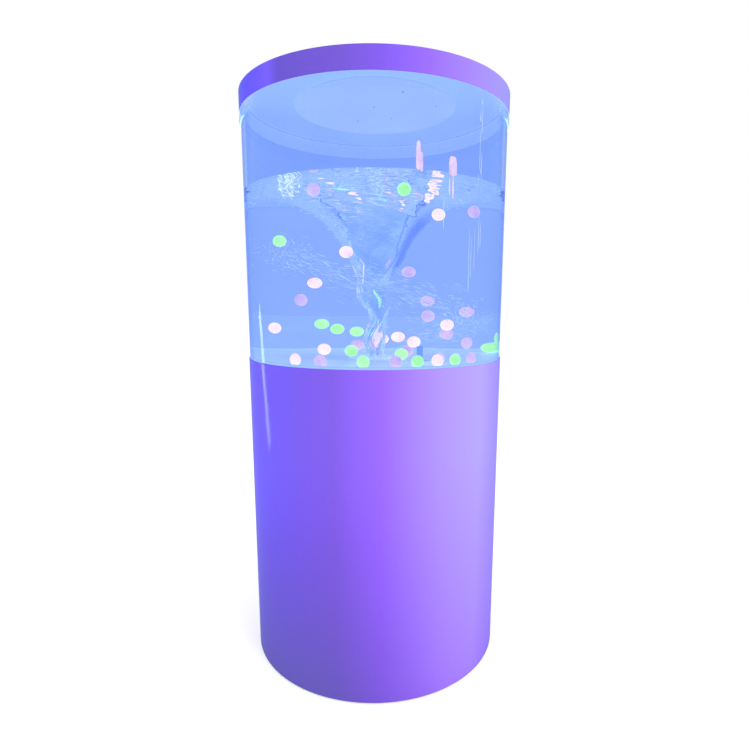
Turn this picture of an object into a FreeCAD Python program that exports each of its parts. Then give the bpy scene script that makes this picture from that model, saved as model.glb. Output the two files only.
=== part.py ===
import FreeCAD, Part
import math
import os
from FreeCAD import Vector

# Sensory tornado tube: a clear water tank with a vortex and floating balls, standing on an
# opaque base of the same tube. Millimetres and degrees, +Z up, origin on the floor under the
# middle of the tube. The back of the lamp, with its hatch and sockets, faces +Y.

# Overall sizes
overall_height = 865.0
tube_outer_diameter = 400.0
tube_wall = 5.0
sleeve_thickness = 1.4

# Clearances
bond_gap = 0.1                  # glued, welded or clamped faces
running_gap = 0.05              # shafts and pins in their holes
turning_gap = 0.4               # pieces that turn or lift past each other
cut_margin = 1.0                # how far a cutting shape runs past what it cuts

# Feet and base plate
foot_count = 6
foot_diameter = 40.0
foot_height = 3.0
foot_margin = 10.0              # between the feet and the tube's inside
flange_thickness = 5.0
spigot_height = 12.0

# Countersunk screws of the case
screw_head_radius = 4.5
screw_head_depth = 2.5
screw_shank_radius = 2.2
screw_length = 14.0
screw_socket_flats = 3.0
screw_socket_depth = 1.5
base_screw_count = 6

# Tank floor and what carries it
floor_thickness = 15.0
support_ring_width = 20.0
support_ring_height = 15.0
post_count = 5
post_diameter = 24.0
post_wall_margin = 2.0
sealant_leg = 3.0

# Service hatch in the back
hatch_height = 230.0
hatch_panel_gap = 25.0          # socket panel up to the hatch's inner frame
hatch_ring_gap = 40.0           # hatch's inner frame up to the ring under the tank floor
hatch_half_angle = 28.0
hatch_edge_gap = 0.5
hatch_ledge = 12.0              # how far the inner frame reaches in and out past the opening
hatch_frame_depth = 6.0
hatch_screw_inset = 6.0
louvre_count = 8
louvre_height = 5.0
louvre_pitch = 13.0
louvre_half_angle = 15.0

# Socket panel in the back
panel_height = 100.0            # middle of the panel above the floor
panel_half_width = 58.0
panel_half_height = 28.0
panel_rim = 8.0
panel_skin = 4.0
panel_recess = 11.5             # from the sleeve's outside to the panel's face
panel_flange = 10.0
panel_depth = 14.0

# Power inlet, switch and button on the panel
inlet_x = -27.0
inlet_bezel = (34.0, 28.0)
inlet_body = (28.0, 21.0)
inlet_socket = (24.0, 17.0)
inlet_depth = 30.0
inlet_socket_depth = 18.0
pin_width = 4.0
pin_thickness = 2.0
pin_pitch = 7.0
pin_reach = 16.0
bezel_thickness = 2.0
switch_x = 12.0
switch_bezel = (16.0, 22.0)
switch_body_size = (14.0, 19.6)
switch_depth = 22.0
rocker_half_width = 5.2
rocker_half_length = 7.6
rocker_end_gap = 1.0
rocker_crown = 5.0              # rocker's ends, middle and heel from its pin
rocker_dip = 3.0
rocker_heel = 6.0
rocker_pin_radius = 1.5
rocker_rest_angle = 8.0
button_x = 38.0
button_bezel_radius = 9.0
button_body_radius = 7.6
button_depth = 22.0
button_cap_radius = 5.6
button_stand = 5.0              # cap above its bezel
button_collar = 2.0
button_floor = 2.0

# Electronics on the base plate
supply_size = (65.0, 120.0, 42.0)
board_size = (60.0, 80.0, 1.6)
board_peg_height = 8.0
board_peg_radius = 3.0
deck_margin = 4.0               # between the posts and what stands on the deck
terminal_size = (10.0, 14.0, 8.0)
processor_size = (18.0, 18.0, 2.0)
capacitor_radius = 5.0
capacitor_height = 14.0
lead_radius = 3.0
lead_straight = 22.0            # straight run where a lead leaves a terminal
lead_bend_share = 0.45          # share of a run that its bend takes up

# Light ring under the tank floor
light_gap = 12.0                # light ring to tank floor
carrier_thickness = 6.0
carrier_width = 26.0
carrier_margin = 3.0            # between the posts and the light ring
light_board_width = 17.0
light_board_thickness = 1.6
light_chip_size = 5.0
light_chip_height = 1.6
light_chip_count = 36
carrier_peg_radius = 4.0
carrier_peg_count = 6

# Pipework
pipe_radius = 15.0
pipe_bore_radius = 12.0
hose_wall = 4.0
barb_length = 30.0
neck_radius = 18.0
neck_below_nut = 3.0
nut_flats = 46.0
nut_height = 10.0
gasket_thickness = 2.0
gasket_radius = 24.0
drain_flange_radius = 32.0
fitting_flange_thickness = 4.0
strainer_radius = 26.0
strainer_thickness = 2.0
strainer_slot_count = 12
strainer_slot_width = 3.0
strainer_hub_radius = 6.5
strainer_rim = 4.0
strainer_ledge = 2.0
jet_bearing = -60.0
jet_nut_gap = 1.5               # jet's lock nut to the light ring
jet_flange_radius = 24.0
jet_nozzle_radius = 4.0
jet_nozzle_height = 20.0
jet_nozzle_bore = 2.5
jet_plug_length = 8.0
clamp_width = 9.0
clamp_thickness = 1.2
clamp_housing = (12.0, 7.0, 7.0)
hose_end_gap = 2.0

# Drain valve on the suction line
tee_body_radius = 19.0
tee_half_height = 30.0
tee_gap = 5.0
tee_branch = 48.0
valve_radius = 27.0
valve_length = 60.0
valve_ball_radius = 18.0
valve_stem_radius = 5.0
valve_boss_radius = 10.0
valve_boss_height = 7.0
lever_length = 75.0
lever_width = 14.0
lever_thickness = 5.0
lever_eye = 2.0                 # lever's round end past its width

# Pump and motor, stacked upwards from the deck on the tube's axis
bracket_radius = 62.0
bracket_thickness = 6.0
bracket_bolt_margin = 3.0       # bolt heads to the bracket's rim
bracket_bolt_count = 4
bolt_radius = 2.5
bolt_head_radius = 5.0
bolt_head_height = 4.0
bolt_length = 14.0
motor_radius = 38.0
motor_wall = 3.0
end_cap_height = 14.0
motor_length = 64.0
stator_inner_radius = 22.0
stator_margin = 8.0
rotor_gap = 0.6
bearing_radius = 13.0
bearing_width = 8.0
shaft_radius = 5.0
shaft_shoulder = 2.0
seal_radius = 11.0
seal_height = 5.0
volute_radius = 54.0
volute_back = 16.0
chamber_radius = 46.0
chamber_depth = 32.0
cover_thickness = 6.0
cover_screw_count = 6
cover_screw_radius = 2.0
cover_screw_head_radius = 4.0
cover_screw_head_height = 3.0
cover_screw_length = 18.0
inlet_spigot = 34.0
outlet_tangent_radius = 30.0
impeller_radius = 40.0
impeller_clearance = 2.0
impeller_disc = 3.0
impeller_vane_height = 18.0
impeller_vane_width = 3.0
impeller_vane_count = 6
impeller_vane_sweep = 25.0
impeller_hub_radius = 9.0
elbow_radius = 30.0

# Lid
lid_plate_thickness = 5.0
lid_gasket_thickness = 2.0
lid_skirt_wall = 1.2
lid_skirt_depth = 44.0          # from the lid's top to the foot of its clear skirt
lid_bead_height = 10.0
lid_bead_proud = 0.8
lid_band_height = 28.5
lid_band_thickness = 0.4
lid_disc_radius = 122.0
lid_disc_thickness = 2.0

# Vortex: the surface falls exponentially towards the axis, then runs down as a thin core
water_level = 731.0
water_wall_gap = 0.5
funnel_throat_radius = 20.0
funnel_depth = 133.0            # surface at the wall down to the throat
funnel_spread = 39.0            # radial distance over which the fall shrinks by e
core_radius = 9.0
funnel_points = 9
core_points = 6

# Floating balls: bearing in degrees, then reach from the axis to the wall and height from the
# tank floor to the surface, both as shares of the room that a ball has there
ball_radius = 8.5
ball_room = 0.3
green_ball_shares = [
    (188, 0.62, 0.719), (118, 0.72, 0.172), (125, 0.43, 0.144), (100, 0.69, 0.116), (265, 0.98, 0.0),
    (312, 0.26, 0.0), (36, 0.83, 0.0), (305, 1.0, 0.0), (287, 1.0, 0.0), (283, 0.84, 0.95),
    (246, 0.40, 0.03), (82, 0.27, 0.346), (340, 1.0, 0.1),
]
white_ball_shares = [
    (325, 0.50, 0.866), (240, 0.38, 0.636), (135, 0.54, 0.462), (187, 0.67, 0.161), (346, 0.49, 0.185),
    (69, 0.41, 0.088), (82, 0.30, 0.077), (217, 0.43, 0.033), (235, 1.0, 0.0), (296, 1.0, 0.0),
    (314, 0.37, 0.081),
]
pink_ball_shares = [
    (338, 0.70, 0.891), (51, 0.34, 0.536), (224, 0.70, 0.344), (316, 0.49, 0.247), (356, 0.47, 0.123),
    (321, 0.83, 0.083), (315, 0.99, 0.0), (247, 0.99, 0.0), (301, 0.86, 0.0), (38, 0.26, 0.0),
    (278, 1.0, 0.0), (112, 0.31, 0.035), (92, 0.43, 0.03), (241, 0.84, 0.955), (47, 0.49, 0.341),
    (24, 0.63, 0.265),
]

# Levels and radii that follow from the sizes above
tube_outer_radius = tube_outer_diameter / 2
tube_inner_radius = tube_outer_radius - tube_wall
sleeve_inner_radius = tube_outer_radius + bond_gap
sleeve_outer_radius = sleeve_inner_radius + sleeve_thickness
base_bottom = foot_height
flange_top = base_bottom + flange_thickness
deck = flange_top + spigot_height
hatch_low = panel_height + panel_half_height + panel_flange / 2 + hatch_panel_gap + hatch_ledge
hatch_high = hatch_low + hatch_height
ring_bottom = hatch_high + hatch_ledge + hatch_ring_gap
floor_bottom = ring_bottom + support_ring_height
floor_top = floor_bottom + floor_thickness
seam_height = floor_top          # top edge of the coloured sleeve
insert_radius = tube_inner_radius - bond_gap
foot_circle_radius = tube_inner_radius - foot_margin - foot_diameter / 2
bracket_bolt_circle = bracket_radius - bracket_bolt_margin - bolt_head_radius
post_circle_radius = tube_inner_radius - post_wall_margin - post_diameter / 2
deck_reach = post_circle_radius - post_diameter / 2 - deck_margin
tube_top = overall_height - lid_plate_thickness - lid_gasket_thickness
plate_bottom = overall_height - lid_plate_thickness
skirt_inner_radius = tube_outer_radius + turning_gap
skirt_outer_radius = skirt_inner_radius + lid_skirt_wall
rear = 90.0
hexagon_sides = 6
nut_corner = nut_flats / 2 / math.cos(math.pi / hexagon_sides)
carrier_outer = post_circle_radius - post_diameter / 2 - carrier_margin
carrier_inner = carrier_outer - carrier_width
jet_radius = carrier_inner - jet_nut_gap - nut_corner


def polar(radius, bearing, z=0.0):
    """Point at a radius and bearing from the tube's axis."""
    turn = math.radians(bearing)
    return Vector(radius * math.cos(turn), radius * math.sin(turn), z)


def disc(radius, low, high, at=Vector()):
    """Upright cylinder between two levels."""
    return Part.makeCylinder(radius, high - low, Vector(at.x, at.y, low))


def ring(outer, inner, low, high, at=Vector()):
    """Upright round wall between two levels."""
    return disc(outer, low, high, at).cut(disc(inner, low, high, at))


def block(x_low, x_high, y_low, y_high, z_low, z_high):
    """Box between two corners."""
    return Part.makeBox(x_high - x_low, y_high - y_low, z_high - z_low, Vector(x_low, y_low, z_low))


def upright_block(x, z, size, y_low, y_high):
    """Box on the back panel, size wide and high around x and z."""
    return block(x - size[0] / 2, x + size[0] / 2, y_low, y_high, z - size[1] / 2, z + size[1] / 2)


def rod(radius, start, end):
    """Round bar from one point to another."""
    return Part.makeCylinder(radius, (end - start).Length, start, end - start)


def turned(shape, bearing):
    """Copy of a shape turned about the tube's axis."""
    copy = shape.copy()
    copy.rotate(Vector(), Vector(0, 0, 1), bearing)
    return copy


def bearings(count, start=0.0):
    """Evenly spaced bearings round a full circle."""
    return [start + 360.0 * i / count for i in range(count)]


def sector(outer, inner, low, high, half_angle):
    """Piece of a round wall, centred on the back of the lamp."""
    height = high - low
    outside = Part.makeCylinder(outer, height, Vector(0, 0, low), Vector(0, 0, 1), 2 * half_angle)
    return turned(outside.cut(disc(inner, low, high)), rear - half_angle)


def hexagon(across_flats, low, high, at=Vector()):
    """Upright hexagonal prism."""
    corner = across_flats / 2 / math.cos(math.pi / hexagon_sides)
    points = [at + polar(corner, bearing) for bearing in bearings(hexagon_sides)]
    for point in points:
        point.z = low
    outline = Part.makePolygon(points + points[:1])
    return Part.Face(outline).extrude(Vector(0, 0, high - low))


def fused(first, *others):
    """Shapes joined into one clean solid."""
    return first.fuse(list(others)).removeSplitter()


def swept(points, radius):
    """Round lead along straight runs, with an arc at each point as large as its runs allow."""
    edges, here = [], points[0]
    for before, corner, after in zip(points, points[1:], points[2:]):
        into, out = (corner - before).normalize(), (after - corner).normalize()
        reach = lead_bend_share * min((corner - before).Length, (after - corner).Length)
        start, end = corner - into * reach, corner + out * reach
        half_turn = into.getAngle(out) / 2
        bend = reach / math.tan(half_turn)
        inward = (out - into).normalize()
        middle = corner + inward * (bend / math.cos(half_turn) - bend)
        edges += [Part.LineSegment(here, start).toShape(), Part.Arc(start, middle, end).toShape()]
        here = end
    edges.append(Part.LineSegment(here, points[-1]).toShape())
    section = Part.Wire(Part.Circle(points[0], points[1] - points[0], radius).toShape())
    return Part.Wire(edges).makePipeShell([section], True, False)


def flat_screw(face_radius, bearing, height, grow=0.0):
    """Countersunk screw driven in towards the axis. With grow it is the hole that takes it."""
    face = Vector(face_radius, 0, height)
    inwards = Vector(-1, 0, 0)
    head_radius, shank_radius = screw_head_radius + grow, screw_shank_radius + grow
    head = Part.makeCone(head_radius, shank_radius, screw_head_depth, face, inwards)
    shank = Part.makeCylinder(shank_radius, screw_length + grow, face, inwards)
    screw = head.fuse(shank)
    if not grow:
        socket = hexagon(screw_socket_flats, -screw_socket_depth, 0)
        socket.rotate(Vector(), Vector(0, 1, 0), 90)
        socket.translate(face)
        screw = screw.cut(socket)
    return turned(screw, bearing)


def cap_bolt(radius, head_radius, head_height, length, seat, grow=0.0):
    """Bolt with a round head standing on seat and its shank downwards."""
    shank = disc(radius + grow, seat.z - length - grow, seat.z, seat)
    if grow:
        return shank
    return fused(shank, disc(head_radius, seat.z, seat.z + head_height, seat))


def save(node, *solids):
    """One STEP file for a piece, or for a group of like pieces."""
    shape = solids[0] if len(solids) == 1 else Part.makeCompound(list(solids))
    shape.exportStep(os.path.join("parts", node + ".step"))


# Screws of the case: round the base plate, at the hatch's corners and the panel's corners
base_screws = [
    (tube_outer_radius, bearing, flange_top + spigot_height / 2)
    for bearing in bearings(base_screw_count, 180.0 / base_screw_count)
]
hatch_inset_angle = math.degrees(hatch_screw_inset / sleeve_outer_radius)
hatch_screw_angle = hatch_half_angle - hatch_inset_angle
hatch_screws = [
    (sleeve_outer_radius, rear + side * hatch_screw_angle, height)
    for side in (-1, 1)
    for height in (hatch_low + hatch_screw_inset, hatch_high - hatch_screw_inset)
]
panel_screw_reach = panel_half_width + panel_flange / 2
panel_screw_angle = math.degrees(math.asin(panel_screw_reach / sleeve_outer_radius))
panel_screws = [
    (sleeve_outer_radius, rear + side * panel_screw_angle, panel_height + up * panel_half_height / 2)
    for side in (-1, 1)
    for up in (-1, 1)
]
case_screws = base_screws + hatch_screws + panel_screws


def case_screw_holes():
    """Holes for every screw of the case."""
    return [flat_screw(*place, grow=bond_gap / 2) for place in case_screws]


def panel_opening(grow):
    """Opening for the socket panel, right through the wall at the back."""
    width, height = panel_half_width + grow, panel_half_height + grow
    reach = tube_outer_radius * 2
    low, high = panel_height - height, panel_height + height
    return block(-width, width, tube_inner_radius / 2, reach, low, high)


def make_case():
    """Feet, base plate, tube, sleeve and the screws between them."""
    feet = [
        disc(foot_diameter / 2, 0, foot_height, polar(foot_circle_radius, b))
        for b in bearings(foot_count)
    ]
    save("feet", *feet)

    plate = disc(tube_outer_radius, base_bottom, flange_top)
    pegs = [disc(board_peg_radius, deck, deck + board_peg_height, p) for p in board_peg_places()]
    plate = fused(plate, disc(insert_radius, flange_top, deck), *pegs)
    save("base_plate", plate.cut(case_screw_holes() + bracket_bolts(bond_gap / 2)))

    hatch_hole = sector(
        sleeve_outer_radius + cut_margin, tube_inner_radius - cut_margin,
        hatch_low, hatch_high, hatch_half_angle,
    )
    openings = [hatch_hole, panel_opening(bond_gap)]
    tube = ring(tube_outer_radius, tube_inner_radius, flange_top, tube_top)
    save("tube", tube.cut(openings + case_screw_holes()))
    sleeve = ring(sleeve_outer_radius, sleeve_inner_radius, base_bottom, seam_height)
    outer_holes = [flat_screw(*place, grow=bond_gap / 2) for place in hatch_screws + panel_screws]
    save("base_sleeve", sleeve.cut(openings + outer_holes))
    save("case_screws", *[flat_screw(*place) for place in case_screws])


def make_tank():
    """Tank floor, its sealant bead, the ring under it and the posts down to the base plate."""
    floor = disc(insert_radius, floor_bottom, floor_top)
    holes = [disc(neck_radius + bond_gap, floor_bottom, floor_top, p) for p in (Vector(), jet_place)]
    save("tank_floor", floor.cut(holes))
    corner = Vector(insert_radius, 0, floor_top)
    inward, upward = Vector(-sealant_leg, 0, 0), Vector(0, 0, sealant_leg)
    bead = Part.makePolygon([corner, corner + inward, corner + upward, corner])
    save("floor_sealant", Part.Face(bead).revolve(Vector(), Vector(0, 0, 1), 360))
    save("support_ring", ring(insert_radius, insert_radius - support_ring_width, ring_bottom, floor_bottom))
    front_half = [180.0 + 180.0 * i / (post_count - 1) for i in range(post_count)]
    posts = [disc(post_diameter / 2, deck, ring_bottom, polar(post_circle_radius, b)) for b in front_half]
    save("support_posts", *posts)


def make_hatch():
    """Louvred hatch and the frame inside the wall that it screws to."""
    ledge_angle = math.degrees(hatch_ledge / tube_inner_radius)
    frame_inner = insert_radius - hatch_frame_depth
    frame = sector(
        insert_radius, frame_inner, hatch_low - hatch_ledge, hatch_high + hatch_ledge,
        hatch_half_angle + ledge_angle,
    )
    window = sector(
        insert_radius + cut_margin, frame_inner - cut_margin,
        hatch_low + hatch_ledge, hatch_high - hatch_ledge, hatch_half_angle - ledge_angle,
    )
    holes = [flat_screw(*place, grow=bond_gap / 2) for place in hatch_screws]
    save("hatch_frame", frame.cut([window] + holes))

    edge_angle = math.degrees(hatch_edge_gap / tube_outer_radius)
    panel = sector(
        sleeve_outer_radius, tube_inner_radius, hatch_low + hatch_edge_gap, hatch_high - hatch_edge_gap,
        hatch_half_angle - edge_angle,
    )
    first = (hatch_low + hatch_high - louvre_pitch * (louvre_count - 1) - louvre_height) / 2
    outer, inner = sleeve_outer_radius + cut_margin, tube_inner_radius - cut_margin
    louvres = []
    for i in range(louvre_count):
        low = first + i * louvre_pitch
        louvres.append(sector(outer, inner, low, low + louvre_height, louvre_half_angle))
    save("hatch_panel", panel.cut(louvres + holes))


panel_face = sleeve_outer_radius - panel_recess
panel_back = panel_face - panel_skin
rocker_pivot = Vector(switch_x, panel_face - bezel_thickness, panel_height)
rocker_wall = switch_body_size[0] / 2 - rocker_half_width - turning_gap


def make_panel():
    """Recessed panel at the back with its power inlet, rocker switch and push button."""
    width, height = panel_half_width, panel_half_height
    inside = panel_face - panel_depth
    low, high = panel_height - height, panel_height + height
    plug = block(-width, width, inside, sleeve_outer_radius, low, high)
    plug = plug.common(disc(sleeve_outer_radius, low, high))
    reach, rise = width + panel_flange, height + panel_flange / 2
    flange = block(-reach, reach, inside, sleeve_outer_radius, panel_height - rise, panel_height + rise)
    flange = flange.common(disc(insert_radius, panel_height - rise, panel_height + rise))
    pocket = (2 * (width - panel_rim), 2 * (height - panel_rim / 2))
    front_pocket = upright_block(0, panel_height, pocket, panel_face, sleeve_outer_radius + cut_margin)
    back_pocket = upright_block(0, panel_height, pocket, inside - cut_margin, panel_back)
    inlet_seat = [size + 2 * bond_gap for size in inlet_body]
    switch_seat = [size + 2 * bond_gap for size in switch_body_size]
    button_back, button_front = [Vector(button_x, y, panel_height) for y in (inside, panel_face)]
    seats = [
        upright_block(inlet_x, panel_height, inlet_seat, inside, panel_face),
        upright_block(switch_x, panel_height, switch_seat, inside, panel_face),
        rod(button_body_radius + bond_gap, button_back, button_front),
    ]
    holes = [flat_screw(*place, grow=bond_gap / 2) for place in panel_screws]
    panel = fused(plug, flange).cut([front_pocket, back_pocket] + seats + holes)
    save("connector_panel", panel)

    front = panel_face + bezel_thickness
    body = fused(
        upright_block(inlet_x, panel_height, inlet_bezel, panel_face, front),
        upright_block(inlet_x, panel_height, inlet_body, panel_face - inlet_depth, panel_face),
    )
    socket_floor = front - inlet_socket_depth
    body = body.cut(upright_block(inlet_x, panel_height, inlet_socket, socket_floor, front))
    pins, pin_holes = [], []
    for column, up in ((-1, -1), (0, 1), (1, -1)):
        x, z = inlet_x + column * pin_pitch, panel_height + up * pin_thickness
        y_low, y_high = panel_face - inlet_depth - pin_thickness, socket_floor + pin_reach
        pins.append(upright_block(x, z, (pin_thickness, pin_width), y_low, y_high))
        hole = (pin_thickness + 2 * bond_gap, pin_width + 2 * bond_gap)
        pin_holes.append(upright_block(x, z, hole, y_low, y_high))
    save("power_inlet", body.cut(pin_holes))
    save("inlet_pins", *pins)
    make_switch(front)
    make_button(front)


def make_switch(front):
    """Rocker switch: a boxed body and a rocker on a cross pin."""
    size = switch_body_size
    body = fused(
        upright_block(switch_x, panel_height, switch_bezel, panel_face, front),
        upright_block(switch_x, panel_height, size, panel_face - switch_depth, panel_face),
    )
    well_size = (size[0] - 2 * rocker_wall, 2 * (rocker_half_length + rocker_end_gap))
    well_floor = panel_face - switch_depth + rocker_wall
    well = upright_block(switch_x, panel_height, well_size, well_floor, front)
    along = Vector(1, 0, 0)
    hole_half, pin_half = along * (size[0] / 2), along * (size[0] / 2 - rocker_wall / 2)
    pin_hole = rod(rocker_pin_radius + running_gap, rocker_pivot - hole_half, rocker_pivot + hole_half)
    save("switch_body", body.cut([well, pin_hole]))

    heel, half = rocker_heel, rocker_half_length
    profile = [
        (-heel, -heel / 2), (-heel, heel / 2), (0, half), (rocker_crown, half),
        (rocker_dip, 0), (rocker_crown, -half), (0, -half), (-heel, -heel / 2),
    ]
    outline = Part.makePolygon([rocker_pivot + Vector(-rocker_half_width, y, z) for y, z in profile])
    rocker = Part.Face(outline).extrude(along * 2 * rocker_half_width)
    pin = rod(rocker_pin_radius, rocker_pivot - pin_half, rocker_pivot + pin_half)
    rocker = fused(rocker, pin)
    rocker.rotate(rocker_pivot, along, rocker_rest_angle)
    save("switch_rocker", rocker)


def make_button(front):
    """Round push button: a body with a stepped bore and a cap with a retaining collar."""
    middle = Vector(button_x, 0, panel_height)
    y = Vector(0, 1, 0)
    back = panel_face - button_depth
    collar_radius = button_cap_radius + (button_body_radius - button_cap_radius) / 2
    body = fused(
        rod(button_bezel_radius, middle + y * panel_face, middle + y * front),
        rod(button_body_radius, middle + y * back, middle + y * panel_face),
    )
    collar_front = panel_face - bezel_thickness
    floor = back + button_floor
    bore = rod(button_cap_radius + turning_gap / 2, middle + y * floor, middle + y * front)
    room = rod(collar_radius + turning_gap / 2, middle + y * floor, middle + y * collar_front)
    save("button_body", body.cut([bore, room]))
    collar_top = middle + y * (collar_front - turning_gap / 2)
    collar_low = collar_top - y * button_collar
    cap = fused(
        rod(button_cap_radius, collar_low, middle + y * (front + button_stand)),
        rod(collar_radius, collar_low, collar_top),
    )
    save("button_cap", cap)


supply_x = -(deck_reach - supply_size[0] / 2)
board_x = deck_reach - board_size[0] / 2
board_bottom = deck + board_peg_height
board_top = board_bottom + board_size[2]


def board_peg_places():
    """Middle of each peg that carries the control board."""
    half_x, half_y = [size / 2 - 2 * board_peg_radius for size in board_size[:2]]
    return [Vector(board_x + side * half_x, end * half_y, 0) for side in (-1, 1) for end in (-1, 1)]


def standing_block(x, y, low, size):
    """Box of a size standing on a level, with its middle at x and y."""
    return block(x - size[0] / 2, x + size[0] / 2, y - size[1] / 2, y + size[1] / 2, low, low + size[2])


def make_electronics():
    """Power supply and control board on the deck."""
    save("power_supply", standing_block(supply_x, 0, deck, supply_size))
    save("control_board", standing_block(board_x, 0, board_bottom, board_size))
    parts = [standing_block(place.x, place.y, board_top, terminal_size) for place in terminal_places]
    parts.append(standing_block(board_x, 0, board_top, processor_size))
    capacitors = [Vector(board_x, place.y, 0) for place in terminal_places[:2]]
    parts += [disc(capacitor_radius, board_top, board_top + capacitor_height, place) for place in capacitors]
    save("board_parts", *parts)


# Terminals of the control board: motor and supply on its inner edge, light ring on its outer edge
terminal_x = board_x - board_size[0] / 2 + terminal_size[0] / 2
terminal_places = [
    Vector(terminal_x, -board_size[1] / 4, 0), Vector(terminal_x, board_size[1] / 4, 0),
    Vector(2 * board_x - terminal_x, board_size[1] / 4, 0),
]
carrier_top = floor_bottom - light_gap
carrier_bottom = carrier_top - carrier_thickness


def make_light_ring():
    """Ring of lights hung under the tank floor."""
    carrier = ring(carrier_outer, carrier_inner, carrier_bottom, carrier_top)
    peg_circle = carrier_inner + carrier_peg_radius + bond_gap
    places = [polar(peg_circle, bearing) for bearing in bearings(carrier_peg_count)]
    pegs = [disc(carrier_peg_radius, carrier_top, floor_bottom, place) for place in places]
    save("led_carrier", fused(carrier, *pegs))
    board_outer = carrier_outer - bond_gap
    light_top = carrier_top + light_board_thickness
    save("led_board", ring(board_outer, board_outer - light_board_width, carrier_top, light_top))
    chip_size = (light_chip_size, light_chip_size, light_chip_height)
    chip = standing_block(board_outer - light_board_width / 2, 0, light_top, chip_size)
    save("led_chips", *[turned(chip, bearing) for bearing in bearings(light_chip_count)])


def make_leads():
    """Leads from the inlet to the supply, and between the supply, board, motor and light ring."""
    level = board_top + terminal_size[2] / 2
    inner_face = terminal_x - terminal_size[0] / 2 - bond_gap
    x, y = Vector(lead_straight, 0, 0), Vector(0, lead_straight, 0)
    mains_start = Vector(inlet_x, panel_face - inlet_depth - pin_thickness - bond_gap, panel_height)
    mains_end = Vector(supply_x, supply_size[1] / 2 + bond_gap, deck + supply_size[2] / 2)
    mains = [mains_start, mains_start - y, mains_end + y, mains_end]
    supply_start = Vector(supply_x + supply_size[0] / 2 + bond_gap, supply_size[1] / 3, mains_end.z)
    supply_end = Vector(inner_face, terminal_places[1].y, level)
    around = bracket_radius + 4 * lead_radius
    supply = [
        supply_start, supply_start + x, Vector(-motor_radius, around, level),
        Vector(motor_radius, around, level), supply_end - x, supply_end,
    ]
    motor_start = Vector(inner_face, terminal_places[0].y, level)
    motor_end = Vector(motor_radius + bond_gap, 0, level)
    motor = [motor_start, motor_start - x, motor_end + x, motor_end]
    leads = [swept(points, lead_radius) for points in (mains, supply, motor)]
    light_start = board_top + terminal_size[2] + bond_gap
    leads.append(disc(lead_radius, light_start, carrier_bottom - bond_gap, terminal_places[2]))
    save("wiring_leads", *leads)


jet_place = polar(jet_radius, jet_bearing)
motor_bottom = deck + bracket_thickness
can_bottom = motor_bottom + end_cap_height
volute_bottom = can_bottom + motor_length
chamber_bottom = volute_bottom + volute_back
chamber_top = chamber_bottom + chamber_depth
cover_top = chamber_top + cover_thickness
spigot_top = cover_top + inlet_spigot
outlet_level = (chamber_bottom + chamber_top) / 2
outlet_bearing = jet_bearing + math.degrees(math.acos(outlet_tangent_radius / jet_radius))
outlet_start = polar(outlet_tangent_radius, outlet_bearing, outlet_level)
outlet_line = (jet_place + Vector(0, 0, outlet_level) - outlet_start).normalize()
outlet_end = jet_place + Vector(0, 0, outlet_level) - outlet_line * elbow_radius
hose_inner_radius = pipe_radius + bond_gap
hose_outer_radius = hose_inner_radius + hose_wall
neck_bottom = floor_bottom - gasket_thickness - nut_height - neck_below_nut
barb_bottom = neck_bottom - barb_length
tee_level = spigot_top + tee_gap + barb_length + tee_half_height
elbow_top = outlet_level + elbow_radius


def bracket_bolts(grow=0.0):
    """Bolts of the pump bracket, or with grow their holes."""
    around = bearings(bracket_bolt_count, 180.0 / bracket_bolt_count)
    seats = [polar(bracket_bolt_circle, bearing, motor_bottom) for bearing in around]
    sizes = (bolt_radius, bolt_head_radius, bolt_head_height, bolt_length)
    return [cap_bolt(*sizes, seat, grow) for seat in seats]


lower_seat = can_bottom - bearing_width
upper_seat = volute_bottom + bearing_width
seal_bottom = chamber_bottom - seal_height
wheel_bottom = chamber_bottom + impeller_clearance
wheel_top = wheel_bottom + impeller_disc + impeller_vane_height


def make_motor():
    """Motor on its bracket, with its rotor in two bearings."""
    save("pump_bracket", disc(bracket_radius, deck, motor_bottom).cut(bracket_bolts(bond_gap / 2)))
    lower_pocket = disc(bearing_radius + bond_gap / 2, lower_seat, can_bottom)
    save("motor_end_cap", disc(motor_radius, motor_bottom, can_bottom).cut(lower_pocket))
    can_inner = motor_radius - motor_wall
    save("motor_can", ring(motor_radius, can_inner, can_bottom, volute_bottom))
    stator_low, stator_high = can_bottom + stator_margin, volute_bottom - stator_margin
    save("motor_stator", ring(can_inner - bond_gap, stator_inner_radius, stator_low, stator_high))
    shoulder_low, shoulder_high = can_bottom + turning_gap / 2, volute_bottom - turning_gap / 2
    rotor = fused(
        disc(shaft_radius, lower_seat + turning_gap, wheel_top),
        disc(stator_inner_radius - rotor_gap, stator_low, stator_high),
        disc(shaft_radius + shaft_shoulder, shoulder_low, shoulder_high),
    )
    save("motor_rotor", rotor)
    bore = shaft_radius + running_gap
    seats = ((lower_seat, can_bottom), (volute_bottom, upper_seat))
    save("shaft_bearings", *[ring(bearing_radius, bore, low, high) for low, high in seats])
    save("shaft_seal", ring(seal_radius, bore, seal_bottom, chamber_bottom))


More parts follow.
